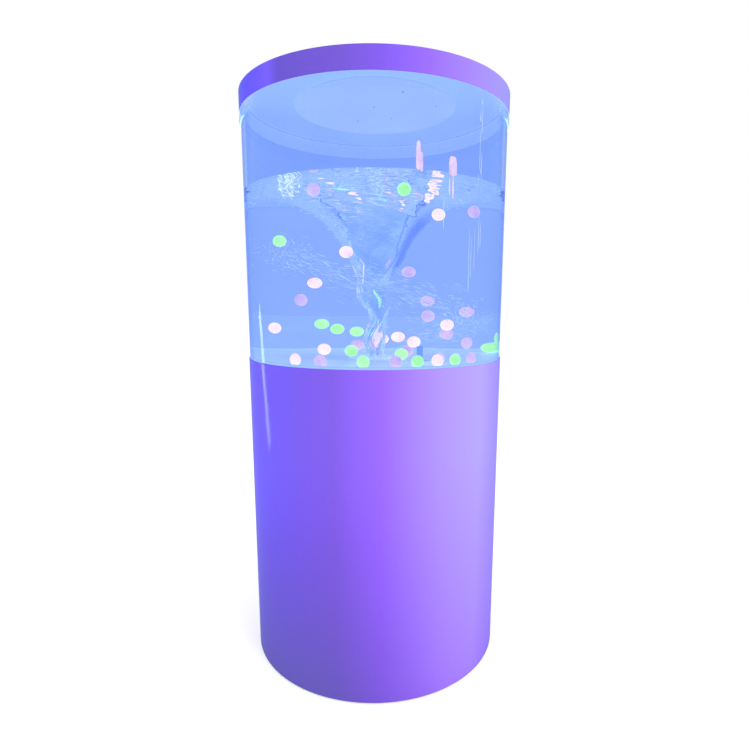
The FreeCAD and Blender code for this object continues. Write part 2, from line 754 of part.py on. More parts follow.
def make_pump():
    """Pump casing on top of the motor, its cover and its impeller."""
    casing = disc(volute_radius, volute_bottom, chamber_top)
    casing = fused(casing, rod(pipe_radius, outlet_start, outlet_end))
    hollows = [
        disc(chamber_radius, chamber_bottom, chamber_top), rod(pipe_bore_radius, outlet_start, outlet_end),
        disc(bearing_radius + bond_gap / 2, volute_bottom, upper_seat),
        disc(seal_radius + bond_gap / 2, seal_bottom, chamber_bottom),
        disc(shaft_radius + shaft_shoulder, upper_seat, seal_bottom),
    ]
    screw_circle = (chamber_radius + volute_radius) / 2
    way_out = outlet_bearing - math.degrees(math.acos(outlet_tangent_radius / screw_circle))
    around = bearings(cover_screw_count, way_out + 180.0 / cover_screw_count)
    seats = [polar(screw_circle, bearing, cover_top) for bearing in around]
    sizes = (cover_screw_radius, cover_screw_head_radius, cover_screw_head_height, cover_screw_length)
    holes = [cap_bolt(*sizes, seat, grow=bond_gap / 2) for seat in seats]
    save("volute_body", casing.cut(hollows + holes))
    cover = fused(disc(volute_radius, chamber_top, cover_top), disc(pipe_radius, cover_top, spigot_top))
    save("volute_cover", cover.cut([disc(pipe_bore_radius, chamber_top, spigot_top)] + holes))
    save("pump_screws", *bracket_bolts(), *[cap_bolt(*sizes, seat) for seat in seats])

    half_width = impeller_vane_width / 2
    vane_start, vane_end = shaft_radius + shaft_shoulder, impeller_radius - impeller_vane_width
    vane = block(vane_start, vane_end, -half_width, half_width, wheel_bottom, wheel_top)
    vane.rotate(Vector(impeller_hub_radius, 0, 0), Vector(0, 0, 1), impeller_vane_sweep)
    wheel = fused(
        disc(impeller_radius, wheel_bottom, wheel_bottom + impeller_disc),
        disc(impeller_hub_radius, wheel_bottom, wheel_top),
        *[turned(vane, bearing) for bearing in bearings(impeller_vane_count)],
    )
    save("impeller", wheel.cut(disc(shaft_radius + running_gap, wheel_bottom, wheel_top)))


def fitting(at, flange_radius):
    """Flanged fitting down through the tank floor, with a barb for its hose."""
    flange_high = floor_top + fitting_flange_thickness
    body = fused(
        disc(flange_radius, floor_top, flange_high, at),
        disc(neck_radius, neck_bottom, floor_top, at),
        disc(pipe_radius, barb_bottom, neck_bottom, at),
    )
    return body.cut(disc(pipe_bore_radius, barb_bottom, flange_high, at))


def clamp(at, level):
    """Hose clamp: a band with a screw housing on its side."""
    inner = hose_outer_radius + bond_gap
    band = disc(inner + clamp_thickness, level, level + clamp_width, at)
    housing_low = level + (clamp_width - clamp_housing[2]) / 2
    housing = standing_block(at.x, at.y + inner + clamp_housing[1] / 2, housing_low, clamp_housing)
    return fused(band, housing).cut(disc(inner, level, level + clamp_width, at))


def make_pipework():
    """Drain, suction line with its drain valve, and the return line to the jet."""
    flange_high = floor_top + fitting_flange_thickness
    strainer_low = flange_high - strainer_thickness
    drain = fitting(Vector(), drain_flange_radius)
    recess = disc(strainer_radius + bond_gap, strainer_low, flange_high)
    mouth_radius = strainer_radius - strainer_ledge
    flare = Part.makeCone(pipe_bore_radius, mouth_radius, strainer_low - floor_top, Vector(0, 0, floor_top))
    save("drain_fitting", drain.cut([recess, flare]))
    slot = block(
        strainer_hub_radius, strainer_radius - strainer_rim,
        -strainer_slot_width / 2, strainer_slot_width / 2, strainer_low, flange_high,
    )
    slots = [turned(slot, b) for b in bearings(strainer_slot_count)]
    save("drain_strainer", disc(strainer_radius, strainer_low, flange_high).cut(slots))

    gasket_low = floor_bottom - gasket_thickness
    places = (Vector(), jet_place)
    inner = neck_radius + bond_gap
    save("fitting_gaskets", *[ring(gasket_radius, inner, gasket_low, floor_bottom, p) for p in places])
    nut_low = gasket_low - nut_height
    nuts = [hexagon(nut_flats, nut_low, gasket_low, p) for p in places]
    nut_holes = [disc(inner, nut_low, gasket_low, p) for p in places]
    save("lock_nuts", *[nut.cut(hole) for nut, hole in zip(nuts, nut_holes)])

    tee_low, tee_high = tee_level - tee_half_height, tee_level + tee_half_height
    run_low, run_high = tee_low - barb_length, tee_high + barb_length
    branch_start, branch_end = Vector(0, 0, tee_level), Vector(0, tee_branch, tee_level)
    tee = fused(
        disc(tee_body_radius, tee_low, tee_high),
        disc(pipe_radius, run_low, run_high),
        rod(tee_body_radius, branch_start, branch_end),
    )
    bores = [disc(pipe_bore_radius, run_low, run_high), rod(pipe_bore_radius, branch_start, branch_end)]
    save("drain_tee", tee.cut(bores))
    upper = (tee_high + hose_end_gap, neck_bottom - hose_end_gap)
    lower = (cover_top + hose_end_gap, tee_low - hose_end_gap)
    back = (elbow_top + hose_end_gap, neck_bottom - hose_end_gap)
    save("suction_hoses", *[ring(hose_outer_radius, hose_inner_radius, *span) for span in (upper, lower)])
    save("return_hose", ring(hose_outer_radius, hose_inner_radius, *back, jet_place))
    clamps = []
    for at, (low, high) in ((Vector(), upper), (Vector(), lower), (jet_place, back)):
        clamps += [clamp(at, low + hose_end_gap), clamp(at, high - hose_end_gap - clamp_width)]
    save("hose_clamps", *clamps)

    jet = fitting(jet_place, jet_flange_radius)
    save("jet_fitting", jet)
    plug_low, nozzle_high = flange_high - jet_plug_length, flange_high + jet_nozzle_height
    outlet_height = nozzle_high - jet_nozzle_radius
    nozzle = fused(
        disc(pipe_bore_radius - bond_gap, plug_low, flange_high, jet_place),
        disc(jet_nozzle_radius, flange_high, nozzle_high, jet_place),
    )
    mouth = jet_place + Vector(0, 0, outlet_height)
    sideways = polar(jet_nozzle_radius + cut_margin, jet_bearing + rear)
    riser = disc(jet_nozzle_bore, plug_low, outlet_height, jet_place)
    save("jet_nozzle", nozzle.cut([riser, rod(jet_nozzle_bore, mouth, mouth + sideways)]))

    bend_end = jet_place + Vector(0, 0, elbow_top)
    bend_middle = bend_end - outlet_line * elbow_radius
    bend_middle += (outlet_line - Vector(0, 0, 1)) * (elbow_radius / math.sqrt(2))
    path = Part.Wire([
        Part.Arc(outlet_end, bend_middle, bend_end).toShape(),
        Part.LineSegment(bend_end, bend_end + Vector(0, 0, barb_length)).toShape(),
    ])
    outside, inside = [
        path.makePipeShell([Part.Wire(Part.Circle(outlet_end, outlet_line, r).toShape())], True, False)
        for r in (pipe_radius, pipe_bore_radius)
    ]
    save("return_elbow", outside.cut(inside))
    make_valve()


def make_valve():
    """Quarter-turn drain valve at the end of the tee's branch, closed at rest."""
    y = Vector(0, 1, 0)
    start = Vector(0, tee_branch, tee_level)
    end = start + y * valve_length
    outlet = end + y * barb_length
    middle = start + y * valve_length / 2
    boss_top = tee_level + valve_radius + valve_boss_height
    body = fused(
        rod(valve_radius, start, end), rod(pipe_radius, end, outlet),
        disc(valve_boss_radius, tee_level, boss_top, middle),
    )
    cavity = Part.makeSphere(valve_ball_radius + turning_gap, middle)
    stem_hole = disc(valve_stem_radius + running_gap, tee_level, boss_top, middle)
    save("valve_body", body.cut([rod(pipe_bore_radius, start, outlet), cavity, stem_hole]))

    lever_low = boss_top + turning_gap
    lever_high = lever_low + lever_thickness
    across = Vector(1, 0, 0) * valve_ball_radius
    ball = Part.makeSphere(valve_ball_radius, middle)
    stem = disc(valve_stem_radius, tee_level + pipe_bore_radius, lever_high, middle)
    save("valve_ball", fused(ball, stem).cut(rod(pipe_bore_radius, middle - across, middle + across)))
    half = lever_width / 2
    lever = fused(
        disc(half + lever_eye, lever_low, lever_high, middle),
        block(0, lever_length, middle.y - half, middle.y + half, lever_low, lever_high),
    )
    save("valve_lever", lever.cut(disc(valve_stem_radius + running_gap, lever_low, lever_high, middle)))


def make_lid():
    """Lift-off lid: a plate with a clear skirt, a coloured band, a gasket and a disc underneath."""
    save("lid_plate", disc(skirt_outer_radius, plate_bottom, overall_height))
    foot = overall_height - lid_skirt_depth
    bead_top = foot + lid_bead_height
    inner, outer = skirt_inner_radius, skirt_outer_radius
    bulge = Vector(outer + lid_bead_proud, 0, foot + lid_bead_height / 2)
    corners = [
        Vector(outer, 0, bead_top), Vector(outer, 0, plate_bottom), Vector(inner, 0, plate_bottom),
        Vector(inner, 0, foot), Vector(outer, 0, foot),
    ]
    straight = [Part.LineSegment(a, b).toShape() for a, b in zip(corners, corners[1:])]
    outline = Part.Wire(straight + [Part.Arc(corners[-1], bulge, corners[0]).toShape()])
    save("lid_skirt", Part.Face(outline).revolve(Vector(), Vector(0, 0, 1), 360))
    band_inner = outer + bond_gap
    band_bottom = overall_height - lid_band_height
    save("lid_band", ring(band_inner + lid_band_thickness, band_inner, band_bottom, overall_height))
    save("lid_gasket", ring(tube_outer_radius, tube_inner_radius, tube_top, plate_bottom))
    save("lid_disc", disc(lid_disc_radius, plate_bottom - lid_disc_thickness, plate_bottom))


water_radius = tube_inner_radius - water_wall_gap
water_bottom = floor_top + fitting_flange_thickness + turning_gap
throat_level = water_level - funnel_depth


def water_outline():
    """Points of the vortex's surface from the wall inwards and down its core."""
    points = []
    for i in range(funnel_points):
        share = (i / (funnel_points - 1)) ** 2
        radius = funnel_throat_radius + (water_radius - funnel_throat_radius) * share
        fall = funnel_depth * math.exp((funnel_throat_radius - radius) / funnel_spread)
        points.append(Vector(radius, 0, water_level - fall))
    points.reverse()
    taper = (funnel_throat_radius - core_radius) * funnel_depth / funnel_spread
    for i in range(1, core_points + 1):
        level = throat_level + (water_bottom - throat_level) * i / core_points
        shrink = math.exp((level - throat_level) / taper)
        radius = core_radius + (funnel_throat_radius - core_radius) * shrink
        points.append(Vector(radius, 0, level))
    return points


def ball_places(shares):
    """Middles of the balls of one colour."""
    furthest = water_radius - ball_radius - 2 * ball_room
    lowest = floor_top + ball_radius + ball_room
    highest = water_level - ball_radius
    room = highest - lowest
    return [polar(furthest * reach, bearing, lowest + room * height) for bearing, reach, height in shares]


def make_water():
    """Swirling water with its funnel, and the balls carried round in it."""
    surface = Part.BSplineCurve()
    points = water_outline()
    surface.interpolate(points)
    rim, foot = Vector(water_radius, 0, water_bottom), points[-1]
    outline = Part.Wire([
        surface.toShape(), Part.LineSegment(foot, rim).toShape(), Part.LineSegment(rim, points[0]).toShape(),
    ])
    water = Part.Face(outline).revolve(Vector(), Vector(0, 0, 1), 360)
    channel = jet_nozzle_radius + turning_gap * 2
    nozzle_room = floor_top + fitting_flange_thickness + jet_nozzle_height + turning_gap
    water = water.cut(ring(jet_radius + channel, jet_radius - channel, water_bottom, nozzle_room))
    colours = {
        "green_balls": green_ball_shares, "white_balls": white_ball_shares, "pink_balls": pink_ball_shares,
    }
    hollows = []
    for node, shares in colours.items():
        middles = ball_places(shares)
        save(node, *[Part.makeSphere(ball_radius, middle) for middle in middles])
        hollows += [Part.makeSphere(ball_radius + ball_room, middle) for middle in middles]
    save("water_fill", water.cut(hollows))


os.makedirs("parts", exist_ok=True)
make_case()
make_tank()
make_hatch()
make_panel()
make_electronics()
make_light_ring()
make_leads()
make_motor()
make_pump()
make_pipework()
make_lid()
make_water()
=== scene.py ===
import bmesh
import bpy
import math
import random
from mathutils import Matrix, Vector


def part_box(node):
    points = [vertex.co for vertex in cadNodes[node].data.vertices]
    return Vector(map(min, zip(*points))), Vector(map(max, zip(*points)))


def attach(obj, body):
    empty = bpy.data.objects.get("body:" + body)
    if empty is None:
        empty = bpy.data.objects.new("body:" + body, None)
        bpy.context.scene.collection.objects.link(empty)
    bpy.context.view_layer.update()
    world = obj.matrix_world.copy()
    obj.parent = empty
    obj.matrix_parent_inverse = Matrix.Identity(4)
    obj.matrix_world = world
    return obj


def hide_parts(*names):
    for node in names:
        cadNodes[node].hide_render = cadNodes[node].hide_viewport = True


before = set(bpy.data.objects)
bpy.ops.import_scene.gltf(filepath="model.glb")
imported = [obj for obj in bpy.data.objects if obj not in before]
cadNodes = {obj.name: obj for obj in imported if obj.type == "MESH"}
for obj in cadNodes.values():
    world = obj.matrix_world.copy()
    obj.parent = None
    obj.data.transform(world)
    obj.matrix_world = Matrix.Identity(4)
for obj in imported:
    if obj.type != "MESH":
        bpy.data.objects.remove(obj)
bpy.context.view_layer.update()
print("frame loaded with", len(cadNodes), "nodes")

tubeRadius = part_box("tube")[1].x  # levels and radii come from the frame
tubeBottom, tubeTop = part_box("tube")[0].z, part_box("tube")[1].z
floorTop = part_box("tank_floor")[1].z
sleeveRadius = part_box("base_sleeve")[1].x
wallThickness = 0.005
fullTurn = 2 * math.pi
smoothSteps = 256  # segments round the big turned pieces
noLight = (0.0, 0.0, 0.0)


def addNode(tree, kind, values=None, **settings):
    node = tree.nodes.new("ShaderNode" + kind)
    for key, value in settings.items():
        setattr(node, key, value)
    for key, value in (values or {}).items():
        node.inputs[key].default_value = value
    return node


def feed(tree, socket, value):  # link a socket, or set a plain value
    if isinstance(value, bpy.types.NodeSocket):
        tree.links.new(value, socket)
    else:
        socket.default_value = value


def calc(tree, operation, *values):
    node = addNode(tree, "Math", operation=operation)
    for socket, value in zip(node.inputs, values):
        feed(tree, socket, value)
    return node.outputs[0]


def blendColours(tree, share, first, second, mode="MIX"):
    node = addNode(tree, "Mix", data_type="RGBA", blend_type=mode)
    feed(tree, node.inputs[0], share)
    for socket, colour in ((node.inputs[6], first), (node.inputs[7], second)):
        feed(tree, socket, colour if isinstance(colour, bpy.types.NodeSocket) else (*colour, 1))
    return node.outputs[2]


def colourIn(tree, socket, share, first, second):
    tree.links.new(blendColours(tree, share, first, second), socket)


def spread(tree, value, fromLow, fromHigh, low=0.0, high=1.0):  # maps one range onto another
    names = ("Value", "From Min", "From Max", "To Min", "To Max")
    node = addNode(tree, "MapRange")
    for name, part in zip(names, (value, fromLow, fromHigh, low, high)):
        feed(tree, node.inputs[name], part)
    return node.outputs[0]


def colourRamp(tree, value, stops):
    node = addNode(tree, "ValToRGB")
    ramp = node.color_ramp
    while len(ramp.elements) < len(stops):
        ramp.elements.new(0.5)
    for element, (place, colour) in zip(ramp.elements, stops):
        element.position = place
        element.color = (*colour, 1)
    tree.links.new(value, node.inputs["Fac"])
    return node.outputs["Color"]


def newGroup(name, inputs, outputs):
    tree = bpy.data.node_groups.new(name, "ShaderNodeTree")
    for label, value in inputs.items():
        socket = tree.interface.new_socket(label, in_out="INPUT", socket_type="NodeSocketFloat")
        socket.default_value = value
    for label in outputs:
        tree.interface.new_socket(label, in_out="OUTPUT", socket_type="NodeSocketFloat")
    return tree, tree.nodes.new("NodeGroupInput").outputs, tree.nodes.new("NodeGroupOutput").inputs


def useGroup(tree, group, **values):
    node = addNode(tree, "Group", node_tree=group)
    for label, value in values.items():
        feed(tree, node.inputs[label], value)
    return node.outputs


def objectParts(tree):  # X, Y and Z of the object's own coordinates
    parts = addNode(tree, "SeparateXYZ")
    tree.links.new(addNode(tree, "TexCoord").outputs["Object"], parts.inputs[0])
    return parts.outputs


def axisDistance(tree, x, y):
    squares = [calc(tree, "MULTIPLY", part, part) for part in (x, y)]
    return calc(tree, "SQRT", calc(tree, "ADD", *squares))


def turnedAway(tree):  # 0 where a face looks at the camera, 1 where it is seen edge on
    return addNode(tree, "LayerWeight", {"Blend": 0.5}).outputs["Facing"]


def dimmed(colours, share):
    return [tuple(share * part for part in colour) for colour in colours]


def makeGrain():  # fine moulded or polished surface: slow tone changes and a small bump
    tree, given, put = newGroup("mouldedGrain", {"scale": 400.0, "cloud": 14.0}, ("tone", "height"))
    place = addNode(tree, "TexCoord").outputs["Object"]
    fine = addNode(tree, "TexNoise", {"Detail": 2.0})
    slow = addNode(tree, "TexNoise", {"Detail": 3.0, "Roughness": 0.6})
    parts = []
    for node, label, share in ((fine, "scale", 0.35), (slow, "cloud", 0.65)):
        tree.links.new(place, node.inputs["Vector"])
        tree.links.new(given[label], node.inputs["Scale"])
        parts.append(calc(tree, "MULTIPLY", node.outputs[0], share))
    tree.links.new(calc(tree, "ADD", *parts), put["tone"])
    tree.links.new(fine.outputs[0], put["height"])
    return tree


def makeBrushed():  # lines left by turning and rolling metal
    tree, given, put = newGroup("brushedLines", {"scale": 60.0, "stretch": 30.0}, ("tone", "height"))
    x, y, z = objectParts(tree)
    joined = addNode(tree, "CombineXYZ")
    for socket, part in zip(joined.inputs, (x, y, calc(tree, "MULTIPLY", z, given["stretch"]))):
        tree.links.new(part, socket)
    lines = addNode(tree, "TexNoise", {"Detail": 4.0})
    tree.links.new(joined.outputs[0], lines.inputs["Vector"])
    tree.links.new(given["scale"], lines.inputs["Scale"])
    for label in ("tone", "height"):
        tree.links.new(lines.outputs[0], put[label])
    return tree


def makeStreaks():  # noise drawn out along spiral lines round the tube's axis
    inputs = {"twist": 3.0, "climb": 20.0, "fineness": 12.0, "length": 30.0, "low": 0.5, "high": 0.65}
    tree, given, put = newGroup("swirlStreaks", inputs, ("mask",))
    x, y, z = objectParts(tree)
    radius = axisDistance(tree, x, y)
    leastRadius = 0.004  # the logarithm stops short of the axis
    depth = calc(tree, "LOGARITHM", calc(tree, "MAXIMUM", radius, leastRadius), math.e)
    turn = calc(tree, "ADD", calc(tree, "ARCTAN2", y, x), calc(tree, "MULTIPLY", depth, given["twist"]))
    turn = calc(tree, "ADD", turn, calc(tree, "MULTIPLY", z, given["climb"]))
    along = calc(tree, "MULTIPLY", calc(tree, "ADD", radius, z), given["length"])
    joined = addNode(tree, "CombineXYZ")
    for socket, operation in zip(joined.inputs, ("COSINE", "SINE")):
        tree.links.new(calc(tree, "MULTIPLY", calc(tree, operation, turn), given["fineness"]), socket)
    tree.links.new(along, joined.inputs["Z"])
    noise = addNode(tree, "TexNoise", {"Scale": 1.0, "Detail": 3.0, "Roughness": 0.6})
    tree.links.new(joined.outputs[0], noise.inputs["Vector"])
    tree.links.new(spread(tree, noise.outputs[0], given["low"], given["high"]), put["mask"])
    return tree


grain, brushed, streaks = makeGrain(), makeBrushed(), makeStreaks()


def newMaterial(name, **values):
    material = bpy.data.materials.new(name)
    material.use_nodes = True
    shader = material.node_tree.nodes["Principled BSDF"]
    for label, value in values.items():
        shader.inputs[label.replace("_", " ")].default_value = value
    return material, material.node_tree, shader.inputs


def newClear(name, ior, strength=1.0):  # clear and polished, with light caught inside
    return newMaterial(name, Transmission_Weight=1.0, IOR=ior, Roughness=0.0, Emission_Strength=strength)


def addBump(tree, sockets, height, distance):
    bump = addNode(tree, "Bump", {"Distance": distance, "Strength": 1.0})
    tree.links.new(height, bump.inputs["Height"])
    tree.links.new(bump.outputs[0], sockets["Normal"])


toneSpan, softSpan = (0.3, 0.7), (0.35, 0.65)  # parts of the grain's tone that are used
finishes = {  # two tones, roughness range, grain scale, bump in metres
    "white_acrylic": (((0.80, 0.84, 0.92), (0.90, 0.93, 0.98)), (0.25, 0.35), 300, 5e-6),
    "white_pvc": (((0.72, 0.73, 0.74), (0.84, 0.85, 0.86)), (0.38, 0.52), 500, 2e-5),
    "grey_plastic": (((0.26, 0.27, 0.30), (0.38, 0.39, 0.42)), (0.42, 0.58), 600, 3e-5),
    "black_plastic": (((0.016, 0.016, 0.02), (0.042, 0.042, 0.048)), (0.34, 0.52), 900, 3e-5),
    "blue_plastic": (((0.03, 0.06, 0.30), (0.06, 0.11, 0.42)), (0.3, 0.45), 600, 2e-5),
    "red_plastic": (((0.50, 0.02, 0.02), (0.68, 0.04, 0.035)), (0.2, 0.32), 700, 1e-5),
    "rubber": (((0.018, 0.018, 0.02), (0.05, 0.05, 0.055)), (0.7, 0.9), 700, 5e-5),
    "silicone": (((0.72, 0.76, 0.82), (0.86, 0.89, 0.93)), (0.35, 0.5), 250, 3e-5),
    "hose": (((0.48, 0.52, 0.57), (0.66, 0.70, 0.74)), (0.3, 0.45), 350, 4e-5),
    "steel": (((0.52, 0.52, 0.54), (0.72, 0.72, 0.74)), (0.22, 0.38), 60, 4e-6),
    "copper_steel": (((0.32, 0.20, 0.13), (0.60, 0.36, 0.20)), (0.35, 0.5), 90, 4e-5),
    "brass": (((0.66, 0.48, 0.20), (0.86, 0.68, 0.34)), (0.2, 0.34), 70, 4e-6),
    "aluminium": (((0.62, 0.63, 0.65), (0.80, 0.81, 0.83)), (0.3, 0.45), 80, 5e-6),
    "circuit_board": (((0.02, 0.13, 0.055), (0.06, 0.30, 0.13)), (0.3, 0.4), 260, 3e-5),
    "light_board": (((0.78, 0.79, 0.80), (0.88, 0.89, 0.90)), (0.35, 0.45), 300, 2e-5),
    "light_chip": (((0.90, 0.90, 0.66), (0.98, 0.97, 0.82)), (0.2, 0.3), 300, 1e-5),
}
metals = ("steel", "copper_steel", "brass", "aluminium")
chipLight = {"Emission Color": (0.55, 0.7, 1, 1), "Emission Strength": 2.0}


def roughen(tree, sockets, tone, rough):
    tree.links.new(spread(tree, tone, *toneSpan, *rough), sockets["Roughness"])


def makeFinish(name, tones, rough, scale, bump):
    metal = name in metals
    material, tree, sockets = newMaterial(name, Metallic=float(metal))
    out = useGroup(tree, brushed if metal else grain, scale=scale)
    colourIn(tree, sockets["Base Color"], spread(tree, out["tone"], *toneSpan), *tones)
    roughen(tree, sockets, out["tone"], rough)
    addBump(tree, sockets, out["height"], bump)
    return material


materials = {name: makeFinish(name, *look) for name, look in finishes.items()}
for label, value in chipLight.items():
    materials["light_chip"].node_tree.nodes["Principled BSDF"].inputs[label].default_value = value

violetSheet = {
    "stops": (  # painted light: blue-violet on the left through violet to lavender on the right, as the light falls across the piece
        (0.02, (0.165, 0.115, 0.960)), (0.20, (0.176, 0.108, 0.840)), (0.36, (0.198, 0.102, 0.710)),
        (0.52, (0.285, 0.126, 0.930)), (0.72, (0.380, 0.266, 0.960)), (0.87, (0.410, 0.340, 0.970)),
        (0.98, (0.320, 0.235, 0.940)),
    ),
    "foot": (0.88, 0.62, 0.90), "footSpan": (0.36, 0.0),  # painted shade, darker towards the foot, between these heights
    "left": (0.130, 0.104, 0.435), "leftSpan": (0.28, -0.01), "leftEdge": (0.11, -0.08),  # painted shade, low on the left
    "rough": (0.07, 0.13), "specular": 0.08,
}
violetBand = {
    # painted light: blue on the left, a dark dip left of the middle, lavender on the right
    "stops": (
        (0.02, (0.085, 0.070, 0.960)), (0.165, (0.170, 0.110, 0.950)), (0.200, (0.135, 0.086, 0.580)),
        (0.40, (0.155, 0.086, 0.560)), (0.52, (0.190, 0.092, 0.700)), (0.66, (0.265, 0.125, 0.900)),
        (0.82, (0.320, 0.215, 0.930)), (0.98, (0.320, 0.300, 0.940)),
    ),
    "rough": (0.07, 0.13), "specular": 0.08,
}
violetPlate = {
    # painted light, a little lighter towards the right
    "stops": ((0.02, (0.190, 0.095, 0.760)), (0.50, (0.215, 0.105, 0.800)), (0.98, (0.250, 0.130, 0.850))),
    "rough": (0.10, 0.18), "specular": 0.12,
}
violetCloud = {"colour": (0.42, 0.30, 0.97), "share": 0.04, "bump": 1e-6}  # faint mottling of all three
violets = {"violet_acrylic": violetSheet, "violet_band": violetBand, "violet_plate": violetPlate}


def makeViolet(name, look):
    material, tree, sockets = newMaterial(name, Specular_IOR_Level=look["specular"])
    spot = objectParts(tree)
    # the ramp along X paints the light falling across the piece
    colour = colourRamp(tree, spread(tree, spot["X"], -sleeveRadius, sleeveRadius), look["stops"])
    # painted shade: darker towards the foot and on the lower left
    if "foot" in look:
        low, lower = (spread(tree, spot["Z"], *look[label]) for label in ("footSpan", "leftSpan"))
        left = calc(tree, "MULTIPLY", lower, spread(tree, spot["X"], *look["leftEdge"]))
        colour = blendColours(tree, low, colour, look["foot"], "MULTIPLY")
        colour = blendColours(tree, left, colour, look["left"])
    out = useGroup(tree, grain, scale=180.0, cloud=5.0)
    cloud = spread(tree, out["tone"], *toneSpan, 0.0, violetCloud["share"])
    colourIn(tree, sockets["Base Color"], cloud, colour, violetCloud["colour"])
    roughen(tree, sockets, out["tone"], look["rough"])
    addBump(tree, sockets, out["height"], violetCloud["bump"])
    return material


for name, look in violets.items():
    materials[name] = makeViolet(name, look)

clearWall = {
    "wet": ((0.50, 0.645, 1.0), (0.53, 0.67, 1.0)),  # painted blue of the tank's light: tints of one wall beside the water, and above it
    "dry": ((0.45, 0.60, 1.0), (0.475, 0.622, 1.0)),
    "edge": (0.43, 0.635, 1.0), "turned": (0.40, 0.85),  # where the wall is seen along its thickness
    "rim": (0.18, 0.42, 1.0), "rimShadeTurned": (0.72, 0.84),  # painted shade: deepest tint, by the outline
    "lit": (0.07, 0.10, 0.34), "litTurned": (0.84, 0.96),  # light caught in the wall
    "sunk": (0.060, 0.082, 0.125), "sunkLevel": (0.485, 0.4815),  # and behind the sleeve
    "shore": (0.722, 0.732),  # heights between which the wet tint gives way to the dry one
    "dull": (0.55, 0.75), "rough": (0.0, 0.02), "ior": 1.2,
}


def makeClearWall(look):  # polished acrylic, with a slow change of tint and a few dull patches; its blue tint paints the tank's light, a deeper tint by the outline paints shade, and a glow paints light caught in the wall
    material, tree, sockets = newClear("clear_acrylic", look["ior"])
    out = useGroup(tree, grain, scale=260.0, cloud=9.0)
    tone = spread(tree, out["tone"], *softSpan)
    height, away = objectParts(tree)["Z"], turnedAway(tree)
    above, sunk = (spread(tree, height, *look[label]) for label in ("shore", "sunkLevel"))
    along, rim, lit = (spread(tree, away, *look[label]) for label in ("turned", "rimShadeTurned", "litTurned"))
    wet, dry = (blendColours(tree, tone, *look[label]) for label in ("wet", "dry"))
    tint = blendColours(tree, along, blendColours(tree, above, wet, dry), look["edge"])
    colourIn(tree, sockets["Base Color"], rim, tint, look["rim"])
    glow = blendColours(tree, lit, noLight, look["lit"])
    colourIn(tree, sockets["Emission Color"], sunk, glow, look["sunk"])
    tree.links.new(spread(tree, out["tone"], *look["dull"], *look["rough"]), sockets["Roughness"])
    return material


clearSkirt = {
    "face": (0.975, 0.985, 1.0), "edge": (0.03, 0.05, 0.12), "glow": (0.20, 0.33, 0.75),
    "turned": (0.62, 0.88), "mottle": 0.04, "ior": 1.02,
}
clearFoot = {**clearSkirt, "edge": (0.52, 0.66, 1.0), "glow": noLight}


def makeClearSkirt(name, look):  # thin clear strip; where it is seen along its length a dark tint and a blue glow paint shade and the tank's light
    material, tree, sockets = newClear(name, look["ior"])
    out = useGroup(tree, grain, scale=260.0, cloud=9.0)
    slant = calc(tree, "ADD", turnedAway(tree), calc(tree, "MULTIPLY", out["tone"], look["mottle"]))
    along = spread(tree, slant, *look["turned"])
    colourIn(tree, sockets["Base Color"], along, look["face"], look["edge"])
    colourIn(tree, sockets["Emission Color"], along, noLight, look["glow"])
    return material


materials["clear_acrylic"] = makeClearWall(clearWall)
materials["clear_skirt"] = makeClearSkirt("clear_skirt", clearSkirt)
materials["clear_foot"] = makeClearSkirt("clear_foot", clearFoot)

linings = {  # faces with painted glow for the light of the lamps below: two tones, glow, strength, more glow on the near side
    "disc_lining": (((0.27, 0.29, 0.33), (0.33, 0.35, 0.39)), (0.628, 0.691, 0.890), 0.90),
    "plate_lining": (((0.27, 0.29, 0.33), (0.33, 0.35, 0.39)), (0.472, 0.578, 0.900), 0.90, 0.24),
    "band_lining": (((0.84, 0.88, 0.95), (0.92, 0.95, 0.98)), (1.0, 0.87, 0.87), 1.30),
    "rim_lining": (((0.23, 0.25, 0.29), (0.28, 0.30, 0.34)), (0.560, 0.665, 0.900), 0.90),
    "sealant_glow": (((0.84, 0.88, 0.95), (0.92, 0.95, 0.98)), (0.66, 0.78, 0.98), 0.62),
    "lit_fitting": (((0.84, 0.88, 0.94), (0.93, 0.95, 0.98)), (0.66, 0.76, 0.92), 0.50),
    "lit_nozzle": (((0.20, 0.34, 0.82), (0.28, 0.44, 0.90)), (0.24, 0.38, 0.90), 0.75),
}
liningLook = {"dim": 0.88, "nearSpan": (0.06, -0.15), "rough": (0.3, 0.42), "bump": 4e-6}


def makeLining(name, tones, glow, strength, near=0.0):
    look = liningLook
    material, tree, sockets = newMaterial(name, Emission_Strength=strength)
    out = useGroup(tree, grain, scale=220.0, cloud=7.0)
    tone = spread(tree, out["tone"], *softSpan)
    colourIn(tree, sockets["Base Color"], tone, *tones)
    colour = blendColours(tree, tone, *dimmed([glow], look["dim"]), glow)
    if near:
        # painted light: more glow on the near side
        front = spread(tree, objectParts(tree)["Y"], *look["nearSpan"])
        colour = blendColours(tree, front, colour, *dimmed([glow], 1 + near))
    tree.links.new(colour, sockets["Emission Color"])
    roughen(tree, sockets, out["tone"], look["rough"])
    addBump(tree, sockets, out["height"], look["bump"])
    return material


for name, look in linings.items():
    materials[name] = makeLining(name, *look)

floorGlow = {
    "ring": 0.152, "width": 0.090, "dim": (0.42, 0.49, 0.60), "bright": (0.74, 0.82, 0.95), "strength": 0.52,
    "tones": ((0.80, 0.86, 0.95), (0.92, 0.95, 0.98)), "rough": (0.25, 0.4),
}


